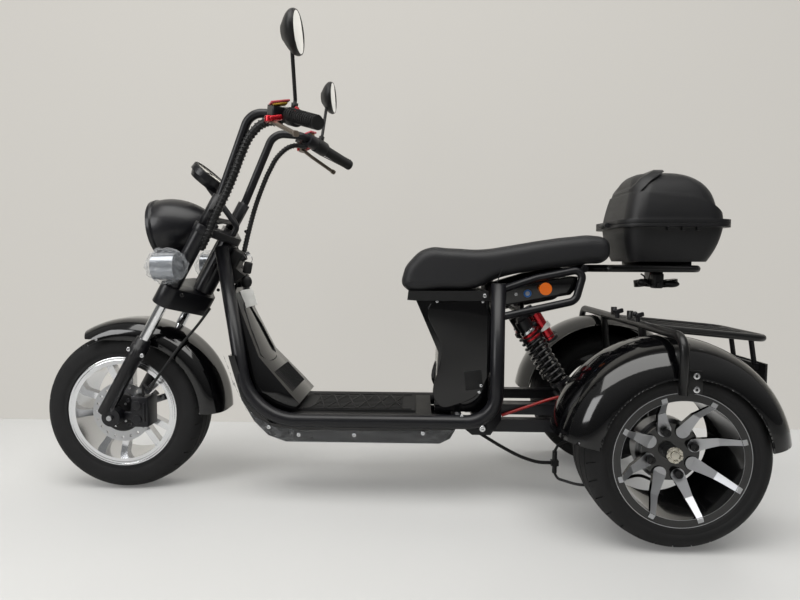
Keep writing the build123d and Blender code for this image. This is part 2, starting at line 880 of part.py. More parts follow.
caliper_x = front_axle_x - caliper_back
caliper_foot = front_tyre_radius - 34
caliper_top = front_tyre_radius + 56
disc_outer = front_disc_y + front_disc_thickness
with BuildPart() as caliper:
    block((caliper_x - 26, disc_outer + 1, caliper_foot), (caliper_x + 26, fork_half - 6, caliper_top))
    block((caliper_x - 26, front_disc_y - 14, caliper_foot), (caliper_x - 20, disc_outer + 6, caliper_top))
    block(
        (caliper_x + 20, fork_half - 16, front_tyre_radius - 12),
        (front_axle_x - leg_lug_radius - seat_gap, fork_half - 6, front_tyre_radius + 12),
    )
caliper.part.label = "front_brake_caliper"
export_step(caliper.part, "parts/front_brake_caliper.step")

hose_y = guard_half + sheet + hose_radius + 6
with BuildPart() as front_hose:
    hose(
        [
            head(-head_tube_radius - 12 - seat_gap - hose_radius, 6, lower_clamp_height + 30),
            head(-50, 50, lower_clamp_height - 22),
            head(-44, hose_y, lower_clamp_height - 95),
            head(-36, hose_y + 6, lower_clamp_height - 175),
            head(-28, hose_y + 6, lower_clamp_height - 250),
            (caliper_x - 8, hose_y + 2, caliper_top + 44),
            (caliper_x - 8, hose_y + 2, caliper_top + seat_gap),
        ],
        hose_radius,
    )
front_hose.part.label = "front_brake_hose"
export_step(front_hose.part, "parts/front_brake_hose.step")

# ------------------------------------------------------------------ frame
upright_top = seat_pan_top + 22
pivot_height = floor_height - 31
rail_top = head(-2, 48, head_tube_top - 14)


def rails(radius, mode=Mode.ADD):
    """Adds or cuts the two side rails, from the head tube round the floor and up to the seat."""
    for side, hand in SIDES:
        route = [
            Vector(rail_top.X, hand * rail_top.Y, rail_top.Z),
            at(rail_foot_x, hand * rail_y, rail_height),
            at(upright_x, hand * rail_y, rail_height),
            at(upright_x, hand * rail_y, upright_top),
        ]
        pipe(route, rail_bends, radius, mode)


board_foot = floor_height - board_thickness
board_tube_height = board_foot - cross_tube_radius - seat_gap
seat_base_foot = floor_height + 6
tail_rail_height = seat_pan_top - 73
tail_bar_height = seat_pan_top - 62.7
with BuildPart() as main_frame:
    rails(rail_radius)
    for side, hand in SIDES:
        pipe(
            [
                at(upright_x, hand * rail_y, tail_rail_height),
                by_seat(190, hand * (tail_tube_y + 8), -26),
                at(tail_tube_end, hand * tail_tube_y, rack_top_height),
                by_seat(300, hand * tail_tube_y, 37),
                by_seat(upright_x, hand * (rail_y - 8), 2),
            ],
            [30, 20, 60],
            small_tube_radius,
        )
        plate_y = hand * (rail_y - 16)
        slab(
            [(520, 9), (478, -25), (425, -25), (395, 19), (396, 99), (420, 69), (450, 31)],
            plate_y - 5,
            plate_y + 5,
            pivot_height,
        )
        rod(by_seat(330, hand * 60, -62.7), by_seat(330, hand * 60, -34.6), 6)
    with BuildSketch(head_plane(head_tube_foot)):
        Circle(head_tube_radius)
        Circle(stem_radius + 0.05, mode=Mode.SUBTRACT)
    extrude(amount=head_tube_length)
    for x, z in (
        (upright_x, rail_height + 90),
        (upright_x, seat_pan_bottom - 30),
        (1000, board_tube_height),
        (700, board_tube_height),
        (520, seat_base_foot - cross_tube_radius - seat_gap),
    ):
        rod(at(x, -rail_y, z), at(x, rail_y, z), cross_tube_radius)
    rod(at(330, -132, tail_bar_height), at(330, 132, tail_bar_height), small_tube_radius)
    rod(
        at(tail_tube_end, -tail_tube_y, rack_top_height),
        at(tail_tube_end, tail_tube_y, rack_top_height),
        small_tube_radius,
    )
    drum(rear_axle_x + pivot_x, 0, pivot_height, pivot_radius, 2 * (rail_y - 10))
main_frame.part.label = "main_frame"
export_step(main_frame.part, "parts/main_frame.step")

board_half = rail_y - rail_radius - seat_gap
with BuildPart() as floor_board:
    block(at(594, -board_half, board_foot), at(1000, board_half, floor_height))
floor_board.part.label = "floor_board"
export_step(floor_board.part, "parts/floor_board.step")

with BuildPart() as floor_mat:
    block(at(mat_back, -mat_half, floor_height), at(mat_front, mat_half, floor_height + mat_thickness))
    with BuildSketch(Plane(origin=by_floor((mat_back + mat_front) / 2, 0, mat_thickness))) as ribs:
        for offset_y in range(-4, 5):
            with Locations((0, offset_y * 16)):
                Rectangle(mat_front - mat_back - 80, 8)
    extrude(ribs.sketch, amount=1.5)
floor_mat.part.label = "floor_mat"
export_step(floor_mat.part, "parts/floor_mat.step")

shield_outline = [
    (1182, 358),
    (1158, 291),
    (1099, 158),
    (977, 25),
    (1000.5, 1),
    (1040, 1),
    (1100, 58),
    (1140, 158),
    (1180, 278),
    (1208, 366),
]
with BuildPart() as shroud:
    slab(shield_outline, -shield_half, shield_half, floor_height)
    with BuildSketch(Plane.YZ) as width:
        Polygon(
            (-shield_half, floor_height - 22),
            (shield_half, floor_height - 22),
            (shield_half, floor_height + 58),
            (shield_half / 2, floor_height + 378),
            (-shield_half / 2, floor_height + 378),
            (-shield_half, floor_height + 58),
            align=None,
        )
    extrude(width.sketch, amount=wheelbase, both=True, mode=Mode.INTERSECT)
    rails(rail_radius + seat_gap, Mode.SUBTRACT)
shroud.part.label = "leg_shield"
export_step(shroud.part, "parts/leg_shield.step")

belly_outline = [
    (1178, 168),
    (1166, 124),
    (1141, 40),
    (1105, -22),
    (1064, -63),
    (1013, -81),
    (571, -81),
    (541, -66),
    (526, -40),
    (600, -36.3),
    (1000, -36.3),
    (1060, -26),
    (1112, 38),
    (1142, 108),
    (1160, 168),
]
with BuildPart() as belly:
    slab(belly_outline, -belly_half, belly_half, floor_height)
    rails(rail_radius + seat_gap, Mode.SUBTRACT)
belly.part.label = "belly_pan"
export_step(belly.part, "parts/belly_pan.step")

seat_base_outline = [(640, 328), (575, 178), (585, 6), (445, 6), (432, 38), (432, 328)]
seat_base_inside = [(634, 328), (571, 178), (581, 10), (447, 10), (436, 40), (436, 328)]
with BuildPart() as seat_base:
    slab(seat_base_outline, -seat_base_half, seat_base_half, floor_height)
    slab(seat_base_inside, sheet - seat_base_half, seat_base_half - sheet, floor_height, Mode.SUBTRACT)
seat_base.part.label = "seat_base"
export_step(seat_base.part, "parts/seat_base.step")

with BuildPart() as seat_pan:
    slab(
        [
            (662, seat_pan_top),
            (665, seat_pan_bottom + 2),
            (640, seat_pan_bottom + seat_gap),
            (435, seat_pan_bottom + seat_gap),
            (435, seat_pan_top),
        ],
        -seat_pan_half,
        seat_pan_half,
    )
seat_pan.part.label = "seat_pan"
export_step(seat_pan.part, "parts/seat_pan.step")

seat_outline = [
    (672, 22),
    (678, 53),
    (664, 84),
    (615, 122),
    (458, 120),
    (287, 144),
    (146, 157),
    (104, 148),
    (96, 127),
    (104, 84),
    (211, 72),
    (420, 42),
    (440, seat_gap),
    (643, seat_gap),
]
with BuildPart() as seat:
    slab(seat_outline, -seat_half, seat_half, seat_pan_top)
    upper_edges = [edge for edge in seat.edges().filter_by(Axis.Y, reverse=True)
                   if edge.center().Z > seat_pan_top + 80]
    fillet(upper_edges, 20)
seat.part.label = "seat"
export_step(seat.part, "parts/seat.step")

with BuildPart() as tail_cover:
    slab(
        [(388, 7), (385, -43), (200, -10), (184, 8), (180, 42), (390, 12)],
        -tail_cover_half,
        tail_cover_half,
        seat_pan_top,
    )
tail_cover.part.label = "tail_cover"
export_step(tail_cover.part, "parts/tail_cover.step")

with BuildPart() as blinkers:
    for side, hand in SIDES:
        blinker_plane = wheel_plane(rear_axle_x + 275, hand * tail_cover_half, seat_pan_top + 7)
        extrude(circle_on(blinker_plane, rear_signal_radius), amount=hand * 22)
blinkers.part.label = "rear_indicators"
export_step(blinkers.part, "parts/rear_indicators.step")

lock_outline = [(-45, -47), (-97, -58), (-74, -100), (-34, -92)]
with BuildPart() as lock:
    with BuildSketch(Plane(origin=head(0, 28, head_tube_top), x_dir=head_front, z_dir=(0, -1, 0))) as cover:
        with BuildLine():
            Polyline(*lock_outline, close=True)
        make_face()
    extrude(cover.sketch, amount=56)
    with BuildSketch(head_plane(head_tube_top - 52, -46)) as body:
        RectangleRounded(34, 60, 8)
    extrude(body.sketch, amount=49)
    with BuildSketch(head_plane(head_tube_foot)) as tube:
        Circle(head_tube_radius + seat_gap)
    extrude(tube.sketch, amount=head_tube_length, mode=Mode.SUBTRACT)
    rails(rail_radius + seat_gap, Mode.SUBTRACT)
lock.part.label = "ignition_lock"
export_step(lock.part, "parts/ignition_lock.step")

# ------------------------------------------------------------------ racks and top box
with BuildPart() as top_rack:
    rack_front = tail_tube_end - small_tube_radius - 2 * seat_gap
    rack_back = -165
    pipe(
        [
            at(rack_front, rack_half - 15, rack_top_height),
            at(rack_back, rack_half, rack_top_height),
            at(rack_back, -rack_half, rack_top_height),
            at(rack_front, 15 - rack_half, rack_top_height),
        ],
        [30, 30],
        rack_tube_radius,
    )
    for x in (90, 0, -90):
        rod(at(x, -rack_half, rack_top_height), at(x, rack_half, rack_top_height), 8)
    block(at(-150, -70, rack_top_height + 4), at(0, 70, box_floor))
    block(at(-88, -26, rack_top_height - 46), at(-54, 26, rack_top_height + 5))
    for x, reach in ((-116, 26), (-34, 20)):
        with Locations(at(x, 0, rack_top_height - 44)):
            Cylinder(reach, 20, rotation=(0, 8, 0))
    rod(at(-116, 0, rack_top_height - 44), at(-34, 0, rack_top_height - 44), 9)
top_rack.part.label = "top_rack"
export_step(top_rack.part, "parts/top_rack.step")

hinge_x = box_centre + box_length / 2 + box_lip + 8
hinge_height = box_rim + 2
lip_length = box_length + 2 * box_lip
lip_width = box_width + 2 * box_lip
lip_depth = 9.0
lid_height = 150.0
# each level of the top box: rise above its rim, ahead of its middle, length, width, corner radius
base_levels = [
    (-box_depth, 4, box_length - 57, box_width - 66, box_corner - 12),
    (-0.55 * box_depth, 1, box_length - 20, box_width - 24, box_corner - 4),
    (0, 0, box_length, box_width, box_corner),
]
lid_levels = [
    (box_joint, 0, box_length, box_width, box_corner),
    (0.3 * lid_height, -1, box_length - 12, box_width - 8, box_corner),
    (0.6 * lid_height, -1, box_length - 34, box_width - 26, box_corner),
]
dome_levels = [
    (0.3 * lid_height, -2, box_length - 30, box_width - 32, box_corner),
    (0.62 * lid_height, 1, box_length - 52, box_width - 56, box_corner),
    (0.86 * lid_height, 10, box_length - 92, box_width - 98, box_corner),
    (lid_height, 20, box_length - 170, box_width - 180, box_corner - 12),
]
# side views, ahead of the box's middle and above its rim: the lid's upper edge and its raised band
lid_edge = [(160, 0), (160, 92), (81, 90), (35, 88), (-20, 83), (-71, 70), (-118, 38), (-160, 8), (-160, 0)]
band_edge = [
    (142, 2),
    (135, 46),
    (118, 97),
    (90, 130),
    (44, 158),
    (20, 158),
    (22, 150),
    (70, 120),
    (100, 89),
    (116, 46),
    (122, 2),
]


def box_face(rise, shift, length, width, corner):
    """A rounded level face of the top box."""
    with BuildSketch(Plane(origin=at(box_centre + shift, 0, box_rim + rise))) as face:
        RectangleRounded(length, width, corner)
    return face.sketch


def inner_levels(levels, end):
    """The levels of the hollow inside; end is the level that lies against a wall."""
    hollow = [
        (rise, shift, length - 2 * box_wall, width - 2 * box_wall, corner - box_wall)
        for rise, shift, length, width, corner in levels
    ]
    rise, shift, length, width, corner = hollow[end]
    hollow[end] = (rise + (box_wall if end == 0 else -box_wall), shift, length, width, corner)
    return hollow


def by_box(points):
    """A side view given from the top box's middle and rim, as lengths and heights."""
    return [(box_centre + x, box_rim + z) for x, z in points]


with BuildPart() as box_base:
    loft([box_face(*level) for level in base_levels])
    extrude(box_face(-lip_depth, 0, lip_length, lip_width, box_corner + box_lip), amount=lip_depth)
    loft([box_face(*level) for level in inner_levels(base_levels, 0)], mode=Mode.SUBTRACT)
    for hand in (-1, 1):
        ear_y = hand * (hinge_half + 4.5)
        block(at(hinge_x - 14, ear_y - 4, box_rim - 6), at(hinge_x, ear_y + 4, box_rim))
        drum(rear_axle_x + hinge_x, ear_y, hinge_height, hinge_radius, 8)
        for x in (box_centre - 50, box_centre - 10, box_centre + 30):
            block(
                at(x - 5, hand * (box_width / 2 - 6), box_rim - lip_depth - 10),
                at(x + 5, hand * (box_width / 2 + 9), box_rim - lip_depth + 1),
            )
    drum(rear_axle_x + hinge_x, 0, hinge_height, hinge_pin_radius, 2 * hinge_half + 10)
box_base.part.label = "top_box_base"
export_step(box_base.part, "parts/top_box_base.step")

with BuildPart() as lid_walls:
    loft([box_face(*level) for level in lid_levels])
    slab(by_box(lid_edge), -box_width, box_width, 0, Mode.INTERSECT)

with BuildPart() as lid_band:
    loft([
        box_face(rise * 1.06, shift, length + 9, width + 9, corner + 4)
        for rise, shift, length, width, corner in [lid_levels[0]] + dome_levels
    ])
    slab(by_box(band_edge), -box_width, box_width, 0, Mode.INTERSECT)

with BuildPart() as box_lid:
    loft([box_face(*level) for level in [lid_levels[0]] + dome_levels])
    add(lid_walls.part)
    add(lid_band.part)
    extrude(box_face(box_joint, 0, lip_length, lip_width, box_corner + box_lip), amount=lip_depth + 2)
    loft([box_face(*level) for level in inner_levels([lid_levels[0]] + dome_levels, 4)], mode=Mode.SUBTRACT)
    block(
        at(hinge_x - 14, -hinge_half, box_rim + box_joint),
        at(hinge_x, hinge_half, box_rim + lip_depth),
    )
    drum(rear_axle_x + hinge_x, 0, hinge_height, hinge_radius, 2 * hinge_half)
    extrude(
        circle_on(wheel_plane(rear_axle_x + hinge_x, 0, hinge_height), hinge_pin_radius + 0.05),
        amount=hinge_half + 1,
        both=True,
        mode=Mode.SUBTRACT,
    )
box_lid.part.label = "top_box_lid"
export_step(box_lid.part, "parts/top_box_lid.step")

hoop_leg_y = fender_face_y + small_tube_radius
rack_deck = rack_hoop_height - 6 - rear_tyre_radius
rack_tail = rack_deck - 33
hoop_foot = fender_radius - 118
with BuildPart() as rear_rack:
    pipe(
        [
            by_axle(rack_hoop_x, hoop_leg_y, hoop_foot),
            by_axle(rack_hoop_x, hoop_leg_y, rack_deck + 6),
            by_axle(rack_hoop_x, -hoop_leg_y, rack_deck + 6),
            by_axle(rack_hoop_x, -hoop_leg_y, hoop_foot),
        ],
        [40, 40],
        small_tube_radius,
    )
    pipe(
        [
            by_axle(rack_hoop_x, rear_rack_half, rack_deck),
            by_axle(rear_rack_tail, rear_rack_half, rack_tail),
            by_axle(rear_rack_tail, -rear_rack_half, rack_tail),
            by_axle(rack_hoop_x, -rear_rack_half, rack_deck),
        ],
        [40, 40],
        rack_tube_radius,
    )
    for hand in (-1, 0, 1):
        bar_y = hand * rear_rack_half / 2
        rod(by_axle(rack_hoop_x, bar_y, rack_deck), by_axle(rear_rack_tail, bar_y, rack_tail), rack_bar_radius)
    for hand in (-1, 1):
        rod(
            by_axle(rack_hoop_x, hand * (rear_rack_half + 25), rack_deck + 6),
            by_axle(0, hand * (rear_rack_half + 10), housing_radius + 1.5),
            small_tube_radius,
        )
        block(
            by_axle(rack_hoop_x - 44, min(hand * fender_face_y, hand * hoop_leg_y), hoop_foot + 2),
            by_axle(rack_hoop_x, max(hand * fender_face_y, hand * hoop_leg_y), hoop_foot + 56),
        )
        rod(
            by_axle(rack_hoop_x, hand * rear_rack_half / 2, rack_deck),
            by_axle(rack_hoop_x, hand * rear_rack_half / 2, rack_deck + 37),
            9,
        )
rear_rack.part.label = "rear_rack"
export_step(rear_rack.part, "parts/rear_rack.step")

plate_x = rear_rack_tail - 25
with BuildPart() as plate:
    for hand in (-1, 1):
        rod(
            by_axle(rear_rack_tail, hand * plate_hole_y, rack_tail - rack_tube_radius - seat_gap),
            by_axle(plate_x + 12, hand * plate_hole_y, 177),
            7,
        )
    block(by_axle(plate_x, -plate_half, 72), by_axle(plate_x + plate_thickness, plate_half, 186))
    block(by_axle(plate_x + plate_thickness, -70, 162), by_axle(plate_x + 18, 70, 182))
    with BuildSketch(Plane(origin=by_axle(plate_x - 5, 0, 132), x_dir=(0, 1, 0), z_dir=(1, 0, 0))) as holes:
        with Locations((-plate_hole_y, 0), (plate_hole_y, 0)):
            Circle(plate_hole_radius)
    extrude(holes.sketch, amount=14, mode=Mode.SUBTRACT)
plate.part.label = "number_plate_bracket"
export_step(plate.part, "parts/number_plate_bracket.step")

with BuildPart() as tail_lamp:
    block(by_axle(-tail_overhang, -45, 72), by_axle(plate_x, 45, 107))
    rear_edges = tail_lamp.edges().filter_by(Axis.Z).group_by(Axis.X)[0]
    fillet(rear_edges, 10)
tail_lamp.part.label = "tail_lamp"
export_step(tail_lamp.part, "parts/tail_lamp.step")

fender_section = [
    (fender_inner_y, fender_radius - 24),
    (fender_inner_y + 34, fender_radius - 6),
    (rear_wheel_y, fender_radius),
    (fender_outer_y - 42, fender_radius - 18),
    (fender_outer_y - 10, fender_radius - 52),
    (fender_outer_y, fender_radius - 84),
]
for side, hand in SIDES:
    with BuildPart() as fender:
        mirrored = [(hand * y, radius) for y, radius in fender_section]
        arch(rear_axle_x, rear_tyre_radius, mirrored, fender_front, fender_rear)
    fender.part.label = f"rear_fender_{side}"
    export_step(fender.part, f"parts/rear_fender_{side}.step")

# ------------------------------------------------------------------ rear axle, swingarm, shocks
housing_end = rear_wheel_y + rear_face_inset - rear_centre_depth - brake_drum_width - brake_drum_gap
with BuildPart() as rear_axle:
    drum(rear_axle_x, 0, rear_tyre_radius, housing_radius, 2 * housing_end)
    drum(rear_axle_x, 0, rear_tyre_radius, motor_radius, motor_width)
    for hand in (-1, 1):
        drum(rear_axle_x, hand * (housing_end - 5), rear_tyre_radius, brake_drum_radius - 4, 10)
        end_plane = wheel_plane(rear_axle_x, hand * (housing_end + 1), rear_tyre_radius)
        extrude(
            circle_on(end_plane, rear_axle_radius + 0.05),
            amount=-hand * (axle_engagement + 2),
            mode=Mode.SUBTRACT,
        )
rear_axle.part.label = "rear_axle"
export_step(rear_axle.part, "parts/rear_axle.step")

with BuildPart() as swingarm:
    for hand in (-1, 1):
        low = hand * arm_y - arm_width / 2
        high = low + arm_width
        block(by_axle(60, low, 35), by_axle(pivot_x - 22, high, 65))
        block(by_axle(60, low, -16), by_axle(pivot_x, high, 20))
        block(by_axle(-45, low, -45), by_axle(70, high, 65))
    drum(rear_axle_x + pivot_x, 0, pivot_height, 18, 2 * arm_y + arm_width)
    rod(by_axle(shock_foot_x, -arm_y, 50), by_axle(shock_foot_x, arm_y, 50), cross_tube_radius)
    axle_plane = wheel_plane(rear_axle_x, 0, rear_tyre_radius)
    extrude(circle_on(axle_plane, housing_radius + seat_gap), amount=rail_y, both=True, mode=Mode.SUBTRACT)
    pivot_plane = wheel_plane(rear_axle_x + pivot_x, 0, pivot_height)
    extrude(circle_on(pivot_plane, pivot_radius + fit), amount=rail_y, both=True, mode=Mode.SUBTRACT)
swingarm.part.label = "swingarm"
export_step(swingarm.part, "parts/swingarm.step")

down = (
    by_axle(shock_foot_x, 0, 50 + cross_tube_radius + shock_eye + seat_gap) - by_seat(shock_top_x, 0, -shock_top_drop)
).normalized()
shock_back = Vector(down.Z, 0, -down.X)


def along_shock(hand, depth, back=0):
    """A place along one shock absorber, down from its upper eye."""
    return by_seat(shock_top_x, hand * shock_y, -shock_top_drop) + down * depth + shock_back * back


spring_end = spring_start + spring_length
with BuildPart() as shocks:
    for side, hand in SIDES:
        top = along_shock(hand, 0)
        bottom = by_axle(shock_foot_x, hand * shock_y, 50 + cross_tube_radius + shock_eye + seat_gap)
        rod(top, bottom, 9)
        rod(top, along_shock(hand, spring_start - seat_gap), 22)
        rod(along_shock(hand, spring_start - 12), along_shock(hand, spring_start - seat_gap), spring_radius + 6)
        rod(along_shock(hand, spring_end + seat_gap), along_shock(hand, spring_end + 8), spring_radius + 4)
        rod(along_shock(hand, spring_end + 8), bottom, 14)
        for place in (top, bottom):
            rod(place + Vector(0, 12, 0), place - Vector(0, 12, 0), shock_eye)
        rod(
            along_shock(hand, 30),
            along_shock(hand, 30, reservoir_offset - reservoir_radius - seat_gap),
            9,
        )
shocks.part.label = "shock_absorbers"
export_step(shocks.part, "parts/shock_absorbers.step")

with BuildPart() as bottles:
    for side, hand in SIDES:
        rod(
            along_shock(hand, reservoir_start, reservoir_offset),
            along_shock(hand, reservoir_start + reservoir_length, reservoir_offset),
            reservoir_radius,
        )
bottles.part.label = "shock_reservoirs"
export_step(bottles.part, "parts/shock_reservoirs.step")

coil_length = spring_length - 2 * spring_wire
with BuildPart() as springs:
    for side, hand in SIDES:
        first = along_shock(hand, spring_start + spring_wire)
        with BuildLine() as coil:
            Helix(coil_length / spring_turns, coil_length, spring_radius, first, down)
        with BuildSketch(Plane(origin=coil.line @ 0, z_dir=coil.line % 0)) as wire:
            Circle(spring_wire)
        sweep(wire.sketch, path=coil.line)
        for start in (spring_start, spring_end - 4):
            with BuildSketch(Plane(origin=along_shock(hand, start), z_dir=down)) as washer:
                Circle(spring_radius + 2)
                Circle(15, mode=Mode.SUBTRACT)
            extrude(washer.sketch, amount=4)
springs.part.label = "shock_springs"
export_step(springs.part, "parts/shock_springs.step")

# ------------------------------------------------------------------ rear brake hose and red cable
hose_line = arm_y - 40
tee_x = 225.0
tee_rise = -124.0
plate_inner_y = housing_end - 10
with BuildPart() as rear_hose:
    hose(
        [
            by_floor(528, hose_line, -50),
            by_floor(470, hose_line, -58),
            by_axle(388, hose_line, -75),
            by_axle(330, hose_line, -106),
            by_axle(275, hose_line, tee_rise),
            by_axle(tee_x, hose_line, tee_rise),
        ],
        hose_radius + 1,
    )
    block(by_axle(tee_x - 11, hose_line - 8, tee_rise - 8), by_axle(tee_x + 11, hose_line + 8, tee_rise + 8))
    rod(by_axle(tee_x, hose_line, tee_rise - 30), by_axle(tee_x, hose_line, tee_rise + 36), 7)
    hose(
        [
            by_axle(tee_x, hose_line, tee_rise - 30),
            by_axle(tee_x - 8, hose_line + 6, tee_rise - 46),
            by_axle(tee_x - 66, hose_line + 50, tee_rise - 50),
            by_axle(90, 170, -138),
            by_axle(35, 215, -98),
            by_axle(12, plate_inner_y + 3, -100),
            by_axle(12, plate_inner_y + 3, 4 - brake_drum_radius - 0.5),
        ],
        hose_radius,
    )
    hose(
        [
            by_axle(tee_x, hose_line, tee_rise + 36),
            by_axle(tee_x - 10, hose_line, tee_rise + 56),
            by_axle(150, hose_line, -40),
            by_axle(89.3, hose_line, -24),
        ],
        hose_radius,
    )
rear_hose.part.label = "rear_brake_hose"
export_step(rear_hose.part, "parts/rear_brake_hose.step")

cable_y = rail_y - 16
with BuildPart() as red_cable:
    hose(
        [
            by_axle(393.8, cable_y, 34),
            by_axle(340, cable_y, 54),
            by_axle(250, cable_y, 86),
            by_axle(205, arm_y + 12, 92),
            by_axle(192, arm_y, 84),
            by_axle(192, arm_y, 65 + seat_gap),
        ],
        hose_radius,
    )
red_cable.part.label = "red_cable"
export_step(red_cable.part, "parts/red_cable.step")

battery_x = 450.0
with BuildPart() as battery:
    block(
        by_floor(battery_x, -battery_width / 2, 10),
        by_floor(battery_x + battery_length, battery_width / 2, 10 + battery_height),
    )
battery.part.label = "battery_pack"
export_step(battery.part, "parts/battery_pack.step")
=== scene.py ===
"""Looks of the electric tricycle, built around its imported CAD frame. Lengths are in metres."""
import json
import math

import bpy
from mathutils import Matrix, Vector

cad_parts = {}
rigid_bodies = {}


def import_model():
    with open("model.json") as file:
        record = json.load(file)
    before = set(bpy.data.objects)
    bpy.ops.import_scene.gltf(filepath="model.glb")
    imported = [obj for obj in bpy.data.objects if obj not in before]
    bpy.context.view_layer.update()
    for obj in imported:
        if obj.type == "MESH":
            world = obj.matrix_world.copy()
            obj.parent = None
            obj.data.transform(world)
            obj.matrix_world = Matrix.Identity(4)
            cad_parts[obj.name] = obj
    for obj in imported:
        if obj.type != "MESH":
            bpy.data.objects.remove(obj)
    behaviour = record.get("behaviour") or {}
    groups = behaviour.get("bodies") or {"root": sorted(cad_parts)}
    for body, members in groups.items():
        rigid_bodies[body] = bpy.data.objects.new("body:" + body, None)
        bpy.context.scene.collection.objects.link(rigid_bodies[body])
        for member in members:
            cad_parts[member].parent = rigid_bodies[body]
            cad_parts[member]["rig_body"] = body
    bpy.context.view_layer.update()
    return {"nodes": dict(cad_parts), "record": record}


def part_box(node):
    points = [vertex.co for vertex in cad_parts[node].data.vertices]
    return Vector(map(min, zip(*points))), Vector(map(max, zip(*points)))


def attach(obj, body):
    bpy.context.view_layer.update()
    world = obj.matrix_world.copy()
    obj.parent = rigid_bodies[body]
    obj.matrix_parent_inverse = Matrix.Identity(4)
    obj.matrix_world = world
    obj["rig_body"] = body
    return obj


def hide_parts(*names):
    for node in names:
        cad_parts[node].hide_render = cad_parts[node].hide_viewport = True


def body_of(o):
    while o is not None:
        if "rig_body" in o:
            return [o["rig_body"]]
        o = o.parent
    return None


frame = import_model()


# ---------------------------------------------------------------- finishes of the CAD parts
# Steel tube and sheet under black paint and powder coat, with moulded plastic, rubber, chrome and alloy.
# Each CAD part gets the finish of its material slot. The grain is drawn coarser than real, so that it shows.
def colour(code):
    """A linear colour from its sRGB hex code."""
    parts = [int(code[i:i + 2], 16) / 255 for i in (1, 3, 5)]
    return [c / 12.92 if c <= 0.04045 else ((c + 0.055) / 1.055) ** 2.4 for c in parts] + [1.0]


def add_node(tree, kind, settings=None, links=None):
    """A shader node with its sockets set, and linked from other nodes' outputs."""
    made = tree.nodes.new(kind)
    for name, value in (settings or {}).items():
        if hasattr(made, str(name)) and name not in made.inputs:
            setattr(made, name, value)
        else:
            made.inputs[name].default_value = value
    for name, source in (links or {}).items():
        tree.links.new(source, made.inputs[name])
    return made


def finish(name, code, roughness, metallic=0.0, coat=0.0, uneven=0.0, grain=0.0, grain_size=0.002):
    """A surface whose roughness varies a little over the piece, with a fine grain where one shows."""
    material = bpy.data.materials.new(name)
    material.use_nodes = True
    tree = material.node_tree
    shader = tree.nodes["Principled BSDF"]
    shader.inputs["Base Color"].default_value = colour(code)
    shader.inputs["Roughness"].default_value = roughness
    shader.inputs["Metallic"].default_value = metallic
    shader.inputs["Coat Weight"].default_value = coat
    shader.inputs["Coat Roughness"].default_value = 0.04
    shader.inputs["Specular IOR Level"].default_value = 0.5 if metallic else 0.3
    place = add_node(tree, "ShaderNodeTexCoord")
    clouds_per_metre = 14.0  # handling and dust change the gloss in patches about 70 mm across
    grain_depth = 0.0004
    if uneven:
        cloud = add_node(
            tree,
            "ShaderNodeTexNoise",
            {"Scale": clouds_per_metre, "Detail": 4.0},
            {"Vector": place.outputs["Object"]},
        )
        spread = add_node(
            tree,
            "ShaderNodeMapRange",
            {"To Min": max(0.0, roughness - uneven), "To Max": roughness + uneven},
            {"Value": cloud.outputs["Fac"]},
        )
        tree.links.new(spread.outputs["Result"], shader.inputs["Roughness"])
    if grain:
        specks = add_node(
            tree, "ShaderNodeTexVoronoi", {"Scale": 1 / grain_size}, {"Vector": place.outputs["Object"]}
        )
        bump = add_node(
            tree,
            "ShaderNodeBump",
            {"Strength": grain, "Distance": grain_depth},
            {"Height": specks.outputs["Distance"]},
        )
        tree.links.new(bump.outputs["Normal"], shader.inputs["Normal"])
    return material


# clear-coated black paint on mudguards, belly pan and seat base
gloss_black = finish("gloss black paint", "#040405", 0.1, coat=0.35, uneven=0.03)
# powder-coated black on tubes, clamps and brackets
frame_paint = finish("black powder coat", "#0c0c10", 0.36, coat=0.05, uneven=0.06)
# moulded black plastic with a fine texture
satin_plastic = finish("textured black plastic", "#0b0b0c", 0.5, uneven=0.06, grain=0.2)
# moulded top box, a little greyer
box_plastic = finish("grained box plastic", "#111113", 0.45, uneven=0.05, grain=0.3, grain_size=0.0012)
# soft black rubber of grips and mat
soft_rubber = finish("black rubber", "#0f0f10", 0.66, uneven=0.06, grain=0.2, grain_size=0.0015)
# tyre rubber, a little grey with dust
tyre_rubber = finish("tyre rubber", "#0f0f10", 0.74, uneven=0.1, grain=0.15, grain_size=0.003)
# polished aluminium of the front rim
polished = finish("polished aluminium", "#cfd0d2", 0.16, metallic=1.0, uneven=0.05)
# hard chrome on the fork tubes
chrome = finish("chrome", "#dcdddf", 0.07, metallic=1.0)
# brushed steel of axle, disc and nuts
steel = finish("brushed steel", "#a7a8aa", 0.32, metallic=1.0, uneven=0.08)
# black painted steel of the rear axle
dark_steel = finish("dark painted steel", "#111112", 0.42, metallic=0.2, uneven=0.06)
# black paint on the racks
rack_paint = finish("black rack paint", "#09090a", 0.34, coat=0.1, uneven=0.05)
# black paint on the plate carrier
plate_black = finish("black bracket paint", "#0e0e10", 0.4, uneven=0.05)
# black paint on the coil springs
spring_paint = finish("black spring paint", "#0d0d0f", 0.25, coat=0.4, uneven=0.03)
# red anodised aluminium of the damper reservoirs and lever perches
red_anodised = finish("red anodised alloy", "#a80f1d", 0.26, metallic=0.75, coat=0.3, uneven=0.04)
# bronze-grey anodised levers
bronze = finish("bronze anodised alloy", "#6e655b", 0.34, metallic=0.85, uneven=0.05)
# seat cover
leather = finish("black leatherette", "#151517", 0.52, uneven=0.05, grain=0.5, grain_size=0.0022)
# amber indicator lens
amber = finish("amber lens", "#c25c05", 0.14, coat=0.6)
# red tail lens
red_lens = finish("red lens", "#7e080c", 0.12, coat=0.6)
# smoky clear lens of the small front lamps
clear_lens = finish("clear lens", "#8c9096", 0.08, metallic=0.55, coat=0.8)
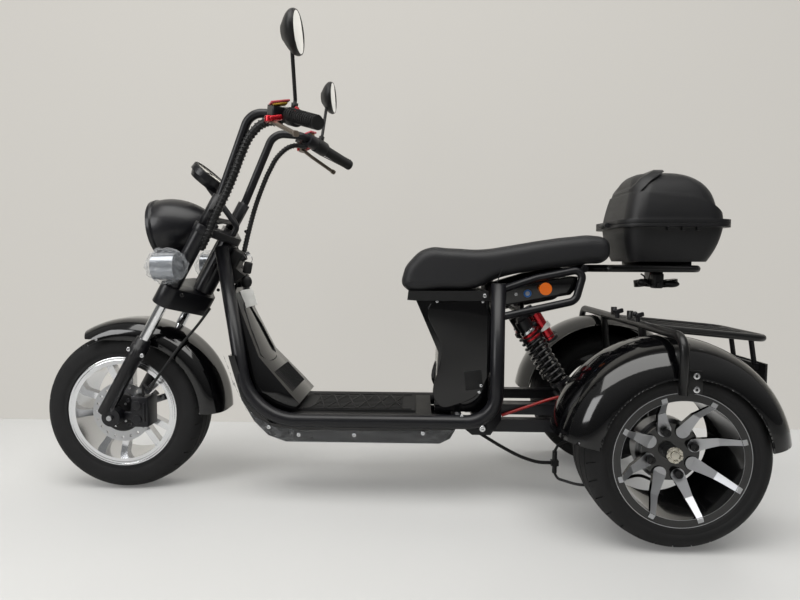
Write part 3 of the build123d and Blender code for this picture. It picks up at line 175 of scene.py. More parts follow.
# lamp glass over a bright reflector
lamp_glass = finish("lamp glass", "#d5dade", 0.05, metallic=0.5, coat=0.6)
# black rubber hoses and cable covers
cable_cover = finish("cable cover", "#101011", 0.5, uneven=0.06)
# red cable cover
red_cover = finish("red cable cover", "#7c1513", 0.38, coat=0.2)
# battery casing, hidden inside
casing = finish("plain casing", "#232325", 0.6)


def machined_rim():
    """Gloss black wheel paint, cut back to bright metal on the spoke faces and a thin line by the edge."""
    paint_gloss, metal_gloss = 0.14, 0.46
    paint_coat, metal_coat = 0.6, 0.1
    spoke_face, spoke_reach = 0.3235, 0.146  # how far out the spoke faces lie, and the radius that they reach
    tip_face = 0.3893
    line_face, line_radius, line_half = 0.38, 0.1645, 0.0007
    square_on = 0.6
    material = finish("machined black rim", "#060607", paint_gloss, coat=paint_coat)
    tree = material.node_tree
    shader = tree.nodes["Principled BSDF"]
    place = add_node(tree, "ShaderNodeTexCoord")
    spot = add_node(tree, "ShaderNodeSeparateXYZ", links={"Vector": place.outputs["Object"]})
    facing = add_node(tree, "ShaderNodeSeparateXYZ", links={"Vector": place.outputs["Normal"]})
    step = "ShaderNodeMath"
    out = add_node(tree, step, {"operation": "ABSOLUTE"}, {0: spot.outputs["Y"]}).outputs[0]
    sideways = add_node(tree, step, {"operation": "ABSOLUTE"}, {0: facing.outputs["Y"]}).outputs[0]
    # the radius about the axle
    ahead = add_node(tree, step, {"operation": "SUBTRACT", 1: rear_axle.x}, {0: spot.outputs["X"]}).outputs[0]
    above = add_node(tree, step, {"operation": "SUBTRACT", 1: rear_axle.z}, {0: spot.outputs["Z"]}).outputs[0]
    ahead_squared = add_node(tree, step, {"operation": "MULTIPLY"}, {0: ahead, 1: ahead}).outputs[0]
    above_squared = add_node(tree, step, {"operation": "MULTIPLY"}, {0: above, 1: above}).outputs[0]
    squares = add_node(tree, step, {"operation": "ADD"}, {0: ahead_squared, 1: above_squared}).outputs[0]
    radius = add_node(tree, step, {"operation": "SQRT"}, {0: squares}).outputs[0]
    # the spoke faces, their tips and the thin line by the rim's edge
    past_face = add_node(tree, step, {"operation": "GREATER_THAN", 1: spoke_face}, {0: out}).outputs[0]
    in_reach = add_node(tree, step, {"operation": "LESS_THAN", 1: spoke_reach}, {0: radius}).outputs[0]
    spoke = add_node(tree, step, {"operation": "MULTIPLY"}, {0: past_face, 1: in_reach}).outputs[0]
    tip = add_node(tree, step, {"operation": "GREATER_THAN", 1: tip_face}, {0: out}).outputs[0]
    from_line = add_node(tree, step, {"operation": "SUBTRACT", 1: line_radius}, {0: radius}).outputs[0]
    off_line = add_node(tree, step, {"operation": "ABSOLUTE"}, {0: from_line}).outputs[0]
    on_line = add_node(tree, step, {"operation": "LESS_THAN", 1: line_half}, {0: off_line}).outputs[0]
    by_edge = add_node(tree, step, {"operation": "GREATER_THAN", 1: line_face}, {0: out}).outputs[0]
    line = add_node(tree, step, {"operation": "MULTIPLY"}, {0: on_line, 1: by_edge}).outputs[0]
    tip_or_line = add_node(tree, step, {"operation": "MAXIMUM"}, {0: tip, 1: line}).outputs[0]
    cut_away = add_node(tree, step, {"operation": "MAXIMUM"}, {0: spoke, 1: tip_or_line}).outputs[0]
    faces_out = add_node(tree, step, {"operation": "GREATER_THAN", 1: square_on}, {0: sideways}).outputs[0]
    bright = add_node(tree, step, {"operation": "MULTIPLY"}, {0: faces_out, 1: cut_away}).outputs[0]
    mix = add_node(
        tree, "ShaderNodeMix", {"data_type": "RGBA", 6: colour("#060607"), 7: colour("#aeafb2")}, {0: bright}
    )
    rough = add_node(tree, "ShaderNodeMapRange", {"To Min": paint_gloss, "To Max": metal_gloss}, {"Value": bright})
    coat = add_node(tree, "ShaderNodeMapRange", {"To Min": paint_coat, "To Max": metal_coat}, {"Value": bright})
    tree.links.new(mix.outputs[2], shader.inputs["Base Color"])
    tree.links.new(bright, shader.inputs["Metallic"])
    tree.links.new(rough.outputs["Result"], shader.inputs["Roughness"])
    tree.links.new(coat.outputs["Result"], shader.inputs["Coat Weight"])
    return material


tyre_low, tyre_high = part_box("rear_tyre_left")
rear_axle = (tyre_low + tyre_high) / 2
# black wheel with machined spoke faces
rim_black = machined_rim()

by_slot = {
    "battery_case": casing,
    "body_black": gloss_black,
    "part_black": frame_paint,
    "trim_black": satin_plastic,
    "mat_rubber": soft_rubber,
    "chrome": chrome,
    "steel": steel,
    "steel_dark": dark_steel,
    "amber_lens": amber,
    "clear_lens": clear_lens,
    "bright_alloy": polished,
    "rim_black": rim_black,
    "tyre_black": tyre_rubber,
    "grip_rubber": soft_rubber,
    "frame_black": frame_paint,
    "plate_alloy": plate_black,
    "rack_grey": rack_paint,
    "seat_leather": leather,
    "spring_black": spring_paint,
    "reservoir_red": red_anodised,
    "lever_bronze": bronze,
    "cable_black": cable_cover,
    "cable_red": red_cover,
    "red_lens": red_lens,
    "box_black": box_plastic,
    "lamp_glass": lamp_glass,
}
slot_of = {part["node"]: part["material_slot"] for part in frame["record"]["subparts"]}
for name, cad in frame["nodes"].items():
    cad.data.materials.clear()
    cad.data.materials.append(by_slot.get(slot_of[name], frame_paint))

# ---------------------------------------------------------------- CAD parts with their edges softened
# Welded tube, pressed steel and moulded plastic, all with small radii at the edges.
# Tubes and pressings are only smoothed; castings and mouldings have their sharp edges rounded too.
def bevelled(piece, width, segments=3):
    """Rounds the piece's edges."""
    step = piece.modifiers.new("round", "BEVEL")
    step.width = width
    step.segments = segments
    step.limit_method = "ANGLE"
    bpy.context.view_layer.objects.active = piece
    bpy.ops.object.modifier_apply(modifier="round")
    return piece


def settle(name, body, material, angle=35):
    """Names the active piece, rests its origin at zero, smooths it and hangs it on its body."""
    piece = bpy.context.object
    piece.name = name
    bpy.ops.object.transform_apply()
    bpy.ops.object.shade_smooth_by_angle(angle=math.radians(angle))
    if not piece.data.materials:
        piece.data.materials.append(material)
    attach(piece, body)
    return piece


def alone(piece):
    """Makes a piece the only one selected, and the active one."""
    bpy.ops.object.select_all(action="DESELECT")
    piece.select_set(True)
    bpy.context.view_layer.objects.active = piece


def softened(node, radius=0.0, angle=35):
    """A copy of a CAD node with its surfaces smoothed and its sharp edges rounded, standing in its place."""
    cad = frame["nodes"][node]
    piece = cad.copy()
    piece.data = cad.data.copy()
    bpy.context.scene.collection.objects.link(piece)
    matrix = cad.matrix_world.copy()
    piece.parent = None
    piece.matrix_world = matrix
    alone(piece)
    bpy.ops.object.transform_apply()
    bpy.ops.object.mode_set(mode="EDIT")
    bpy.ops.mesh.select_all(action="SELECT")
    bpy.ops.mesh.remove_doubles(threshold=0.00001)
    if radius:
        bpy.ops.mesh.dissolve_limited(angle_limit=math.radians(1))
    bpy.ops.object.mode_set(mode="OBJECT")
    if radius:
        bevelled(piece, radius, 2)
    settle(node + "_shell", body_of(cad)[0], None, angle)
    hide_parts(node)
    return piece


smooth_parts = ["front_mudguard", "rear_fender_left", "rear_fender_right", "handlebar", "main_frame", "headlamp"]
smooth_parts += ["mirrors", "fork_legs", "rear_rack", "top_rack"]
edged_parts = ["lower_fork_clamp", "upper_fork_clamp", "seat_base", "tail_cover", "leg_shield", "ignition_lock"]
edged_parts += ["switch_housings", "brake_cylinders", "top_box_lid", "top_box_base"]
moulded_edge, cast_edge = 0.0015, 0.005
for node in smooth_parts:
    softened(node)
for node in edged_parts:
    softened(node, moulded_edge)
softened("front_brake_caliper", cast_edge)

# ---------------------------------------------------------------- tyres
# Moulded rubber tubeless tyres. Each is turned from its section, with round grooves in the crown.
# Slanting sipes are cut into both shoulders, as the mould leaves them.
def join(pieces):
    """Joins pieces into the first one, which becomes the active piece."""
    bpy.ops.object.select_all(action="DESELECT")
    for piece in pieces:
        piece.select_set(True)
    bpy.context.view_layer.objects.active = pieces[0]
    if len(pieces) > 1:
        bpy.ops.object.join()
    return bpy.context.object


def brick(middle, size, bevel=0.0, turn=(0, 0, 0)):
    """A block with rounded edges; size and bevel in metres, turn in degrees."""
    bpy.ops.object.select_all(action="DESELECT")
    bpy.ops.mesh.primitive_cube_add(
        size=1, location=middle, rotation=[math.radians(a) for a in turn], scale=size
    )
    bpy.ops.object.transform_apply()
    return bevelled(bpy.context.object, bevel) if bevel else bpy.context.object


def turned(profile, middle, steps):
    """A body turned about the vehicle's cross axis: profile is (left of the middle, radius) pairs in mm."""
    bpy.ops.object.select_all(action="DESELECT")
    bpy.ops.mesh.primitive_plane_add(size=0.001, location=middle)
    bpy.ops.object.transform_apply()
    piece = bpy.context.object
    bpy.ops.object.mode_set(mode="EDIT")
    bpy.ops.mesh.select_all(action="SELECT")
    bpy.ops.mesh.merge(type="CENTER")
    spots = [Vector((0, y / 1000, r / 1000)) for y, r in profile]
    bpy.ops.transform.translate(value=spots[0])
    for before_spot, spot in zip(spots, spots[1:]):
        bpy.ops.mesh.extrude_region_move(TRANSFORM_OT_translate={"value": spot - before_spot})
    bpy.ops.mesh.select_all(action="SELECT")
    bpy.ops.mesh.spin(steps=steps, angle=2 * math.pi, center=middle, axis=(0, 1, 0))
    bpy.ops.mesh.select_all(action="SELECT")
    bpy.ops.mesh.remove_doubles(threshold=0.00002)
    bpy.ops.mesh.normals_make_consistent(inside=False)
    bpy.ops.object.mode_set(mode="OBJECT")
    return piece


def spun(piece, angle, middle):
    """Turns a piece about the cross axis through a place."""
    alone(piece)
    bpy.ops.transform.rotate(value=angle, orient_axis="Y", center_override=middle)
    bpy.ops.object.transform_apply()
    return piece


def carved(piece, cutters):
    """Cuts one or more pieces out of another."""
    tool = join(cutters)
    cut = piece.modifiers.new("cut", "BOOLEAN")
    cut.object = tool
    cut.solver = "EXACT"
    alone(piece)
    bpy.ops.object.modifier_apply(modifier="cut")
    bpy.data.objects.remove(tool)
    return piece


def tyre(name, node, body, radius, half, rim):
    """A road tyre with four round grooves and a row of sipes on each shoulder; sizes in mm."""
    low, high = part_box(node)
    middle = (low + high) / 2
    crown = radius - 1.5
    bead, bead_top, bead_foot, wall = 166.6, 166, 153, 9.6
    groove_top, groove_floor, groove_depth = 3, 2, 4
    sipes, sipe_width, sipe_height, sipe_lean = 30, 0.0022, 0.016, 24
    shoulder = [(half * 0.86, crown - 15), (half * 0.93, crown - 22), (half * 0.975, crown - 31)]
    shoulder += [(half * 0.985, 190), (half * 0.965, 182), (half * 0.945, 179.5), (half * 0.94, 176)]
    shoulder += [(rim + 3, 169), (rim - 1, bead)]
    tread = [(half * 0.8, crown - 10), (half * 0.72, crown - 7)]
    for groove in (0.55, 0.2, -0.2, -0.55):
        y = groove * half
        top = crown - 8 * abs(groove / 0.8) ** 2
        tread += [(y + groove_top, top), (y + groove_floor, top - groove_depth)]
        tread += [(y - groove_floor, top - groove_depth), (y - groove_top, top)]
    tread += [(-half * 0.72, crown - 7), (-half * 0.8, crown - 10)]
    inside = [(1 - rim, bead), (wall - rim, bead_top), (wall - rim, bead_foot)]
    inside += [(rim - wall, bead_foot), (rim - wall, bead_top), (rim - 1, bead)]
    section = list(reversed(shoulder)) + tread + [(-y, r) for y, r in shoulder] + inside
    piece = turned(section, middle, 120)
    cutters = []
    for step in range(sipes):
        for side in (-1, 1):
            place = middle + Vector((0, side * half * 0.78 / 1000, (crown - 8) / 1000))
            size = (sipe_width, half * 0.34 / 1000, sipe_height)
            slit = brick(place, size, turn=(-side * sipe_lean, 0, side * sipe_lean))
            cutters.append(spun(slit, 2 * math.pi * (step + 0.25 * side) / sipes, middle))
    bpy.context.view_layer.objects.active = carved(piece, cutters)
    settle(name, body, tyre_rubber, 30)
    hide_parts(node)


tyre("front_tread", "front_tyre", "front_wheel", 243, 70, 64)
tyre("left_tread", "rear_tyre_left", "rear_wheel_left", 228, 102.5, 91)
tyre("right_tread", "rear_tyre_right", "rear_wheel_right", 228, 102.5, 91)

# ---------------------------------------------------------------- rear wheel nuts
# Four black socket-head wheel bolts sit deep in bright-ringed bores round a castle nut.
# The nut is plated steel, screwed on the axle stub and slotted for its pin.
def disc(start, end, radius, vertices=32, bevel=0.0):
    """A round bar between two places, with its end edges rounded where bevel is given."""
    start, end = Vector(start), Vector(end)
    bpy.ops.object.select_all(action="DESELECT")
    bpy.ops.mesh.primitive_cone_add(
        vertices=vertices,
        radius1=radius,
        radius2=radius,
        depth=(end - start).length,
        location=(start + end) / 2,
        rotation=(end - start).to_track_quat("Z", "Y").to_euler(),
    )
    bpy.ops.object.transform_apply()
    return bevelled(bpy.context.object, bevel) if bevel else bpy.context.object


# chemically blackened steel, nearly matt
socket_black = finish("blackened screws", "#08080a", 0.3, metallic=0.4)
# zinc plate, slightly yellow and cloudy
plated = finish("zinc plating", "#b9b5aa", 0.25, metallic=1.0, uneven=0.06)
sides = (("left", 1), ("right", -1))
bolt_circle, bolt_count, first_bolt = 0.055, 4, -18
nut_teeth, nut_circle, first_tooth = 6, 0.0165, 20
for side, hand in sides:
    hub = Vector((rear_axle.x, 0, rear_axle.z))
    out = Vector((0, hand, 0))
    bolts = []
    for step in range(bolt_count):
        angle = math.radians(360 / bolt_count * step + first_bolt)
        spot = hub + Vector((bolt_circle * math.cos(angle), 0, bolt_circle * math.sin(angle)))
        bolt = disc(spot + out * 0.3206, spot + out * 0.3395, 0.0106, 24, bevel=0.0015)
        hole = disc(spot + out * 0.3375, spot + out * 0.345, 0.0062, 6)
        bolts.append(carved(bolt, [hole]))
    join(bolts)
    settle(side + "_wheel_bolts", "rear_wheel_" + side, socket_black)
    crown = []
    for step in range(nut_teeth):
        angle = math.radians(360 / nut_teeth * step + first_tooth)
        spot = hub + Vector((nut_circle * math.cos(angle), hand * 0.3488, nut_circle * math.sin(angle)))
        tooth = brick(spot, (0.0066, 0.0045, 0.0105), 0.0008)
        crown.append(spun(tooth, angle, spot))
    crown.append(disc(hub + out * 0.343, hub + out * 0.3476, 0.0206, 40, bevel=0.0015))
    crown.append(disc(hub + out * 0.347, hub + out * 0.3515, 0.0105, 32, bevel=0.0015))
    join(crown)
    settle(side + "_castle_nut", "rear_wheel_" + side, plated)

# ---------------------------------------------------------------- seat
# A foam cushion under black leatherette, stapled round a steel pan. The top is quilted in diamonds.
# A sewn welt runs up each side and back along the seat, and a bead closes the lower edge.
def at(x, y, z):
    """A place in metres from millimetres ahead of the rear axle, left of the middle and above the floor."""
    return Vector((x / 1000 + rear_axle.x, y / 1000, z / 1000))


def meshed(curve):
    """A curve made a mesh, alone in the selection."""
    holder = bpy.data.objects.new(curve.name, curve)
    bpy.context.scene.collection.objects.link(holder)
    alone(holder)
    bpy.ops.object.convert(target="MESH")
    return bpy.context.object


def tube(points, radius, resolution=6):
    """A smooth tube through places, as a mesh."""
    line = bpy.data.curves.new("line", "CURVE")
    line.dimensions = "3D"
    line.bevel_depth = radius
    line.bevel_resolution = 4
    line.resolution_u = resolution
    line.use_fill_caps = True
    spline = line.splines.new("BEZIER")
    spline.bezier_points.add(len(points) - 1)
    for knot, point in zip(spline.bezier_points, points):
        knot.co = point
        knot.handle_left_type = knot.handle_right_type = "AUTO"
    return meshed(line)


def plate(outline, start, end, edge):
    """A flat or fat plate: a side outline in mm carried across from start to end in mm, its edges rounded."""
    line = bpy.data.curves.new("outline", "CURVE")
    line.dimensions = "2D"
    line.fill_mode = "BOTH"
    line.resolution_u = 10
    line.extrude = abs(end - start) / 2000 - edge / 1000
    line.bevel_depth = edge / 1000
    line.bevel_resolution = 5
    line.offset = -edge / 1000
    spline = line.splines.new("BEZIER")
    spline.use_cyclic_u = True
    spline.bezier_points.add(len(outline) - 1)
    for knot, (x, z) in zip(spline.bezier_points, outline):
        knot.co = (x / 1000 + rear_axle.x, z / 1000, 0)
        knot.handle_left_type = knot.handle_right_type = "AUTO"
    piece = meshed(line)
    piece.rotation_euler = (math.radians(90), 0, 0)
    piece.location = (0, (start + end) / 2000, 0)
    bpy.ops.object.transform_apply()
    bpy.ops.object.mode_set(mode="EDIT")
    bpy.ops.mesh.select_all(action="SELECT")
    bpy.ops.mesh.remove_doubles(threshold=0.00005)
    bpy.ops.mesh.normals_make_consistent(inside=False)
    bpy.ops.object.mode_set(mode="OBJECT")
    return piece


# grained vinyl, with seams drawn in as grooves where the cover faces up
hide = finish("quilted leatherette", "#19191b", 0.5, uneven=0.05)
grains_per_metre = 420.0  # one every 2.4 mm, coarser than real so that it shows
diamond, seam_width = 0.05, 0.0016
tree = hide.node_tree
shader = tree.nodes["Principled BSDF"]
place = add_node(tree, "ShaderNodeTexCoord")
grains = add_node(tree, "ShaderNodeTexVoronoi", {"Scale": grains_per_metre}, {"Vector": place.outputs["Object"]})
grain_bump = add_node(
    tree, "ShaderNodeBump", {"Strength": 0.25, "Distance": 0.0006}, {"Height": grains.outputs["Distance"]}
)
slant = add_node(
    tree, "ShaderNodeMapping", {"Rotation": (0, 0, math.radians(45))}, {"Vector": place.outputs["Object"]}
)
seams = add_node(
    tree,
    "ShaderNodeTexBrick",
    {
        "offset": 0,
        "Scale": 1.0,
        "Mortar Size": seam_width,
        "Mortar Smooth": 1.0,
        "Brick Width": diamond,
        "Row Height": diamond,
    },
    {"Vector": slant.outputs["Vector"]},
)
facing = add_node(tree, "ShaderNodeSeparateXYZ", links={"Vector": place.outputs["Normal"]})
upward = add_node(tree, "ShaderNodeMapRange", {"From Min": 0.75, "From Max": 0.9}, {"Value": facing.outputs["Z"]})
groove = add_node(
    tree, "ShaderNodeMath", {"operation": "MULTIPLY"}, {0: seams.outputs["Fac"], 1: upward.outputs["Result"]}
)
seam_bump = add_node(
    tree,
    "ShaderNodeBump",
    {"invert": True, "Strength": 0.8, "Distance": 0.003},
    {"Height": groove.outputs["Value"], "Normal": grain_bump.outputs["Normal"]},
)
tree.links.new(seam_bump.outputs["Normal"], shader.inputs["Normal"])

cushion_side = [(675, 628), (676, 671), (655, 706), (612, 738), (540, 739), (458, 736), (370, 748), (287, 762)]
cushion_side += [(200, 773), (140, 776), (103, 765), (93, 742), (103, 707), (160, 695), (300, 676), (400, 656)]
cushion_side += [(470, 626), (560, 620)]
cushion = plate(cushion_side, -127, 127, 30)
settle("seat_cushion", "frame", hide, 80)
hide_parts("seat")
welt = [(412, 640), (405, 664), (392, 692), (366, 715), (327, 728), (258, 739), (189, 752), (134, 757), (108, 746)]
low_half, top_half, turns_in = 125.4, 123.5, 735
for side, hand in sides:
    tube([at(x, hand * (low_half if z < turns_in else top_half), z) for x, z in welt], 0.0014)
    settle(side + "_seat_welt", "frame", leather, 60)

# ---------------------------------------------------------------- front wheel hub, disc bolts and fork screws
# A cast black cover with bright slots and a ring of six screws closes the hub inside the drilled disc.
# The rim's edges are polished lips. Bore covers and bolts stand on the painted caliper.
# Domed socket screws clamp the axle lug and hold the mudguard to the legs.
def cap_screw(place, axis, radius):
    """A domed screw head standing on a face, with a hex socket sunk in it."""
    axis = Vector(axis).normalized()
    head = disc(place, Vector(place) + axis * radius * 0.9, radius, 24, bevel=radius * 0.25)
    socket = disc(Vector(place) + axis * radius * 0.45, Vector(place) + axis * radius * 1.2, radius * 0.45, 6)
    cut = head.modifiers.new("socket", "BOOLEAN")
    cut.object = socket
    cut.solver = "EXACT"
    bpy.context.view_layer.objects.active = head
    bpy.ops.object.modifier_apply(modifier="socket")
    bpy.data.objects.remove(socket)
    return head


def screw_heads(spots, left, radius):
    """Screw heads on a side face: spots are (ahead, up) pairs and left is where the face lies, in mm."""
    hand = math.copysign(1, left)
    return [cap_screw(at(x, left, z), (0, hand, 0), radius) for x, z in spots]


# zinc plated steel, clean and bright
bright = finish("polished screws", "#c9cacc", 0.2, metallic=1.0)
wheel_low, wheel_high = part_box("front_tyre")
hub_middle = Vector(wheel_low + wheel_high) / 2
cover = turned([(64.2, 8), (66, 8), (71, 20), (72, 42), (69, 55), (64.2, 60), (64.2, 8)], hub_middle, 64)
slot_count, slot_drop, first_slot = 5, -0.047, 30
slots, linings = [], []
for step in range(slot_count):
    slot_angle = math.radians(360 / slot_count * step + first_slot)
    slot_cut = brick(hub_middle + Vector((0, 0.071, slot_drop)), (0.017, 0.012, 0.0055), 0.001)
    slots.append(spun(slot_cut, slot_angle, hub_middle))
bpy.context.view_layer.objects.active = carved(cover, slots)
settle("hub_cover", "front_wheel", satin_plastic, 30)
for step in range(slot_count):
    slot_angle = math.radians(360 / slot_count * step + first_slot)
    lining = brick(hub_middle + Vector((0, 0.067, slot_drop)), (0.0164, 0.004, 0.005), 0.0006)
    linings.append(spun(lining, slot_angle, hub_middle))
join(linings)
settle("hub_slots", "front_wheel", bright)
lip = [(61, 152.5), (63.6, 153.5), (64.6, 156), (64.4, 158.5), (63.6, 160), (64.6, 162), (65, 164.5)]
lip += [(64.2, 166.6), (61, 166.8), (61, 152.5)]
join([turned([(hand * y, r) for y, r in lip], hub_middle, 96) for hand in (-1, 1)])
settle("rim_lips", "front_wheel", polished, 40)
caliper_low, caliper_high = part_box("front_brake_caliper")
middle = (caliper_low + caliper_high) / 2
face = caliper_high.y
details = []
for z in (-0.022, 0.02):
    spot = Vector((middle.x - 0.004, face, middle.z + z))
    details.append(disc(spot - Vector((0, 0.002, 0)), spot + Vector((0, 0.0035, 0)), 0.0135, 40, bevel=0.0015))
for z in (-0.038, 0.036):
    details.append(cap_screw(Vector((middle.x + 0.02, face, middle.z + z)), (0, 1, 0), 0.006))
details.append(brick(Vector((middle.x - 0.026, face + 0.001, middle.z)), (0.006, 0.006, 0.056), 0.002))
join(details)
settle("caliper_details", "steering", frame_paint, 30)
screw_count, screw_circle = 6, 0.03
screws = []
for step in range(screw_count):
    angle = math.radians(360 / screw_count * step)
    spot = hub_middle + Vector((screw_circle * math.cos(angle), 0.0716, screw_circle * math.sin(angle)))
    screws.append(cap_screw(spot, (0, 1, 0), 0.0034))
join(screws)
settle("hub_screws", "front_wheel", steel)
leg_face = 136.5
legs = []
for side in (-1, 1):
    legs += screw_heads([(1466, 446), (1427, 428)], side * leg_face, 0.0062)
join(legs)
settle("fork_leg_screws", "steering", bright)

# ---------------------------------------------------------------- leg shield and floor mat
# The plastic leg shield carries a raised oval panel, with upright ribs where the mat runs up it.
# The mat is ribbed rubber with crossed bars, loose on the steel floor.
shield_side = [(1182, 620), (1158, 553), (1099, 420), (977, 287)]
shield_run = [Vector((x, 0, z)) for x, z in shield_side]


def on_shield(along, left):
    """A place on the shield's inner face: along from 0 at its top to 1 at its foot, left of the middle in mm."""
    lengths = [(b - a).length for a, b in zip(shield_run, shield_run[1:])]
    rest = along * sum(lengths)
    for first, second, length in zip(shield_run, shield_run[1:], lengths):
        if rest <= length:
            break
        rest -= length
    spot = first.lerp(second, min(1.0, rest / length))
    return at(spot.x - 0.6, left, spot.z)


def panel_half(along):
    """Half the shield's width there, less its border."""
    top_half, growth, border = 58, 52, 24
    return top_half + growth * min(1.0, along / 0.7) - border


oval_top, oval_run, oval_foot = 0.1, 0.5, 0.62
oval = [on_shield(oval_top, 0)]
for side, steps in ((1, range(1, 9)), (-1, range(8, 0, -1))):
    for step in steps:
        along = oval_top + oval_run * step / 9
        oval.append(on_shield(along, side * panel_half(along) * min(1.0, 0.55 + step * 0.12)))
    oval.append(on_shield(oval_foot, 0) if side == 1 else oval[0])
tube(oval, 0.0022, resolution=8)
settle("shield_panel_line", "frame", satin_plastic, 60)
ribs = []
for left in range(-84, 85, 12):
    ribs.append(tube([on_shield(0.7 + 0.2 * step / 4, left) for step in range(5)], 0.0016, resolution=2))
join(ribs)
settle("shield_ribs", "frame", satin_plastic, 60)
mat_top, first_bar, bar_pitch, bar_lean = 269.2, 700, 46, 14
bars = []
for step in range(6):
    for lean in (-bar_lean, bar_lean):
        spot = at(first_bar + step * bar_pitch, 0, mat_top)
        bars.append(brick(spot, (0.004, 0.17, 0.0022), 0.0008, (0, 0, lean)))
for left in (-90, 90):
    bars.append(brick(at(812, left, mat_top), (0.32, 0.005, 0.0024), 0.0008))
join(bars)
settle("mat_bars", "frame", soft_rubber, 40)

# ---------------------------------------------------------------- fork clamps and risers
# Cast clamps pinch the fork tubes with socket screws.
# The risers are split and screwed round the bar.
lower_clamp_face, upper_clamp_face = 146.4, 134.6
pinch = []
for side in (-1, 1):
    pinch += screw_heads([(1320, 640), (1303, 603)], side * lower_clamp_face, 0.0055)
    pinch += screw_heads([(1204, 797), (1222, 842)], side * upper_clamp_face, 0.005)
join(pinch)
settle("clamp_screws", "steering", socket_black)

# ---------------------------------------------------------------- lamps
# The headlamp is a black steel bowl with a plain glass, held by a screw on each side.
# The speedometer has a pale printed face under flat glass, in a black bezel.
def hoop(middle, axis, radius, wire, segments=64):
    """A round ring about an axis."""
    bpy.ops.object.select_all(action="DESELECT")
    bpy.ops.mesh.primitive_torus_add(
        location=middle,
        rotation=Vector(axis).to_track_quat("Z", "Y").to_euler(),
        major_radius=radius,
        minor_radius=wire,
        major_segments=segments,
        minor_segments=12,
    )
    bpy.ops.object.transform_apply()
    return bpy.context.object


dial_facing = Vector((-0.65, 0, 0.76)).normalized()
dial_middle = at(1267.8, 0, 961.6)
# printed card behind flat glass
dial_paint = finish("pale dial", "#b9b5ae", 0.25, coat=0.9)
disc(dial_middle - dial_facing * 0.001, dial_middle + dial_facing * 0.0016, 0.0485, 64, bevel=0.0008)
settle("dial_face", "steering", dial_paint)
ring_parts = [hoop(dial_middle + dial_facing * 0.0008, dial_facing, 0.0525, 0.0042, 72)]
boss = dial_middle + dial_facing * 0.001
ring_parts.append(disc(boss, dial_middle + dial_facing * 0.0036, 0.0045, 24, bevel=0.0008))
needle_middle = dial_middle + dial_facing * 0.0024 + Vector((0, 0.018, 0))
ring_parts.append(brick(needle_middle, (0.0024, 0.036, 0.001), 0.0003, (0, -40.5, 0)))
join(ring_parts)
settle("dial_bezel", "steering", satin_plastic, 60)
for side, hand in (("right", -1), ("left", 1)):
    cap_screw(at(1279, hand * 41, 820), (-0.45, hand, 0.1), 0.006)
    settle("headlamp_screw_" + side, "steering", bright)

# ---------------------------------------------------------------- film on the front indicators
# Each small front lamp still has its thin packing film, crumpled loosely round it.
# The film is clear where it is seen square on and pale where it turns edge on.
film = bpy.data.materials.new("thin clear film")
film.use_nodes = True
tree = film.node_tree
shader = tree.nodes["Principled BSDF"]
shader.inputs["Base Color"].default_value = colour("#a9acb0")
shader.inputs["Roughness"].default_value = 0.12
shader.inputs["Coat Weight"].default_value = 0.5
see_through = add_node(tree, "ShaderNodeBsdfTransparent")
edge_on = add_node(tree, "ShaderNodeLayerWeight", {"Blend": 0.35})
cover_share = add_node(
    tree, "ShaderNodeMapRange", {"To Min": 0.06, "To Max": 0.5}, {"Value": edge_on.outputs["Facing"]}
)
blend_film = add_node(
    tree,
    "ShaderNodeMixShader",
    links={0: cover_share.outputs["Result"], 1: see_through.outputs["BSDF"], 2: shader.outputs["BSDF"]},
)
tree.links.new(blend_film.outputs["Shader"], tree.nodes["Material Output"].inputs["Surface"])


def crumpled(piece, depth, size):
    """Creases a piece as thin film creases."""
    creases = bpy.data.textures.new("creases", "VORONOI")
    creases.noise_scale = size
    creases.distance_metric = "DISTANCE"
    bpy.context.view_layer.objects.active = piece
    for kind in ("large", "small"):
        step = piece.modifiers.new(kind, "DISPLACE")
        step.texture = creases
        step.texture_coords = "LOCAL"
        step.strength = depth if kind == "large" else depth * 0.5
        step.mid_level = 0.35
        bpy.ops.object.modifier_apply(modifier=kind)
    return piece


signal_low, signal_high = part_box("front_indicators")
signal_middle = (signal_low + signal_high) / 2
lamp_half = 0.038
for side, hand in sides:
    middle = Vector((signal_middle.x, hand * (signal_high.y - lamp_half), signal_middle.z))
    bpy.ops.object.select_all(action="DESELECT")
    bpy.ops.mesh.primitive_ico_sphere_add(subdivisions=5, radius=0.052, location=middle, scale=(1.0, 0.9, 0.88))
    bpy.ops.object.transform_apply()
    crumpled(bpy.context.object, 0.012, 0.014)
    settle(side + "_indicator_film", "steering", film, 25)

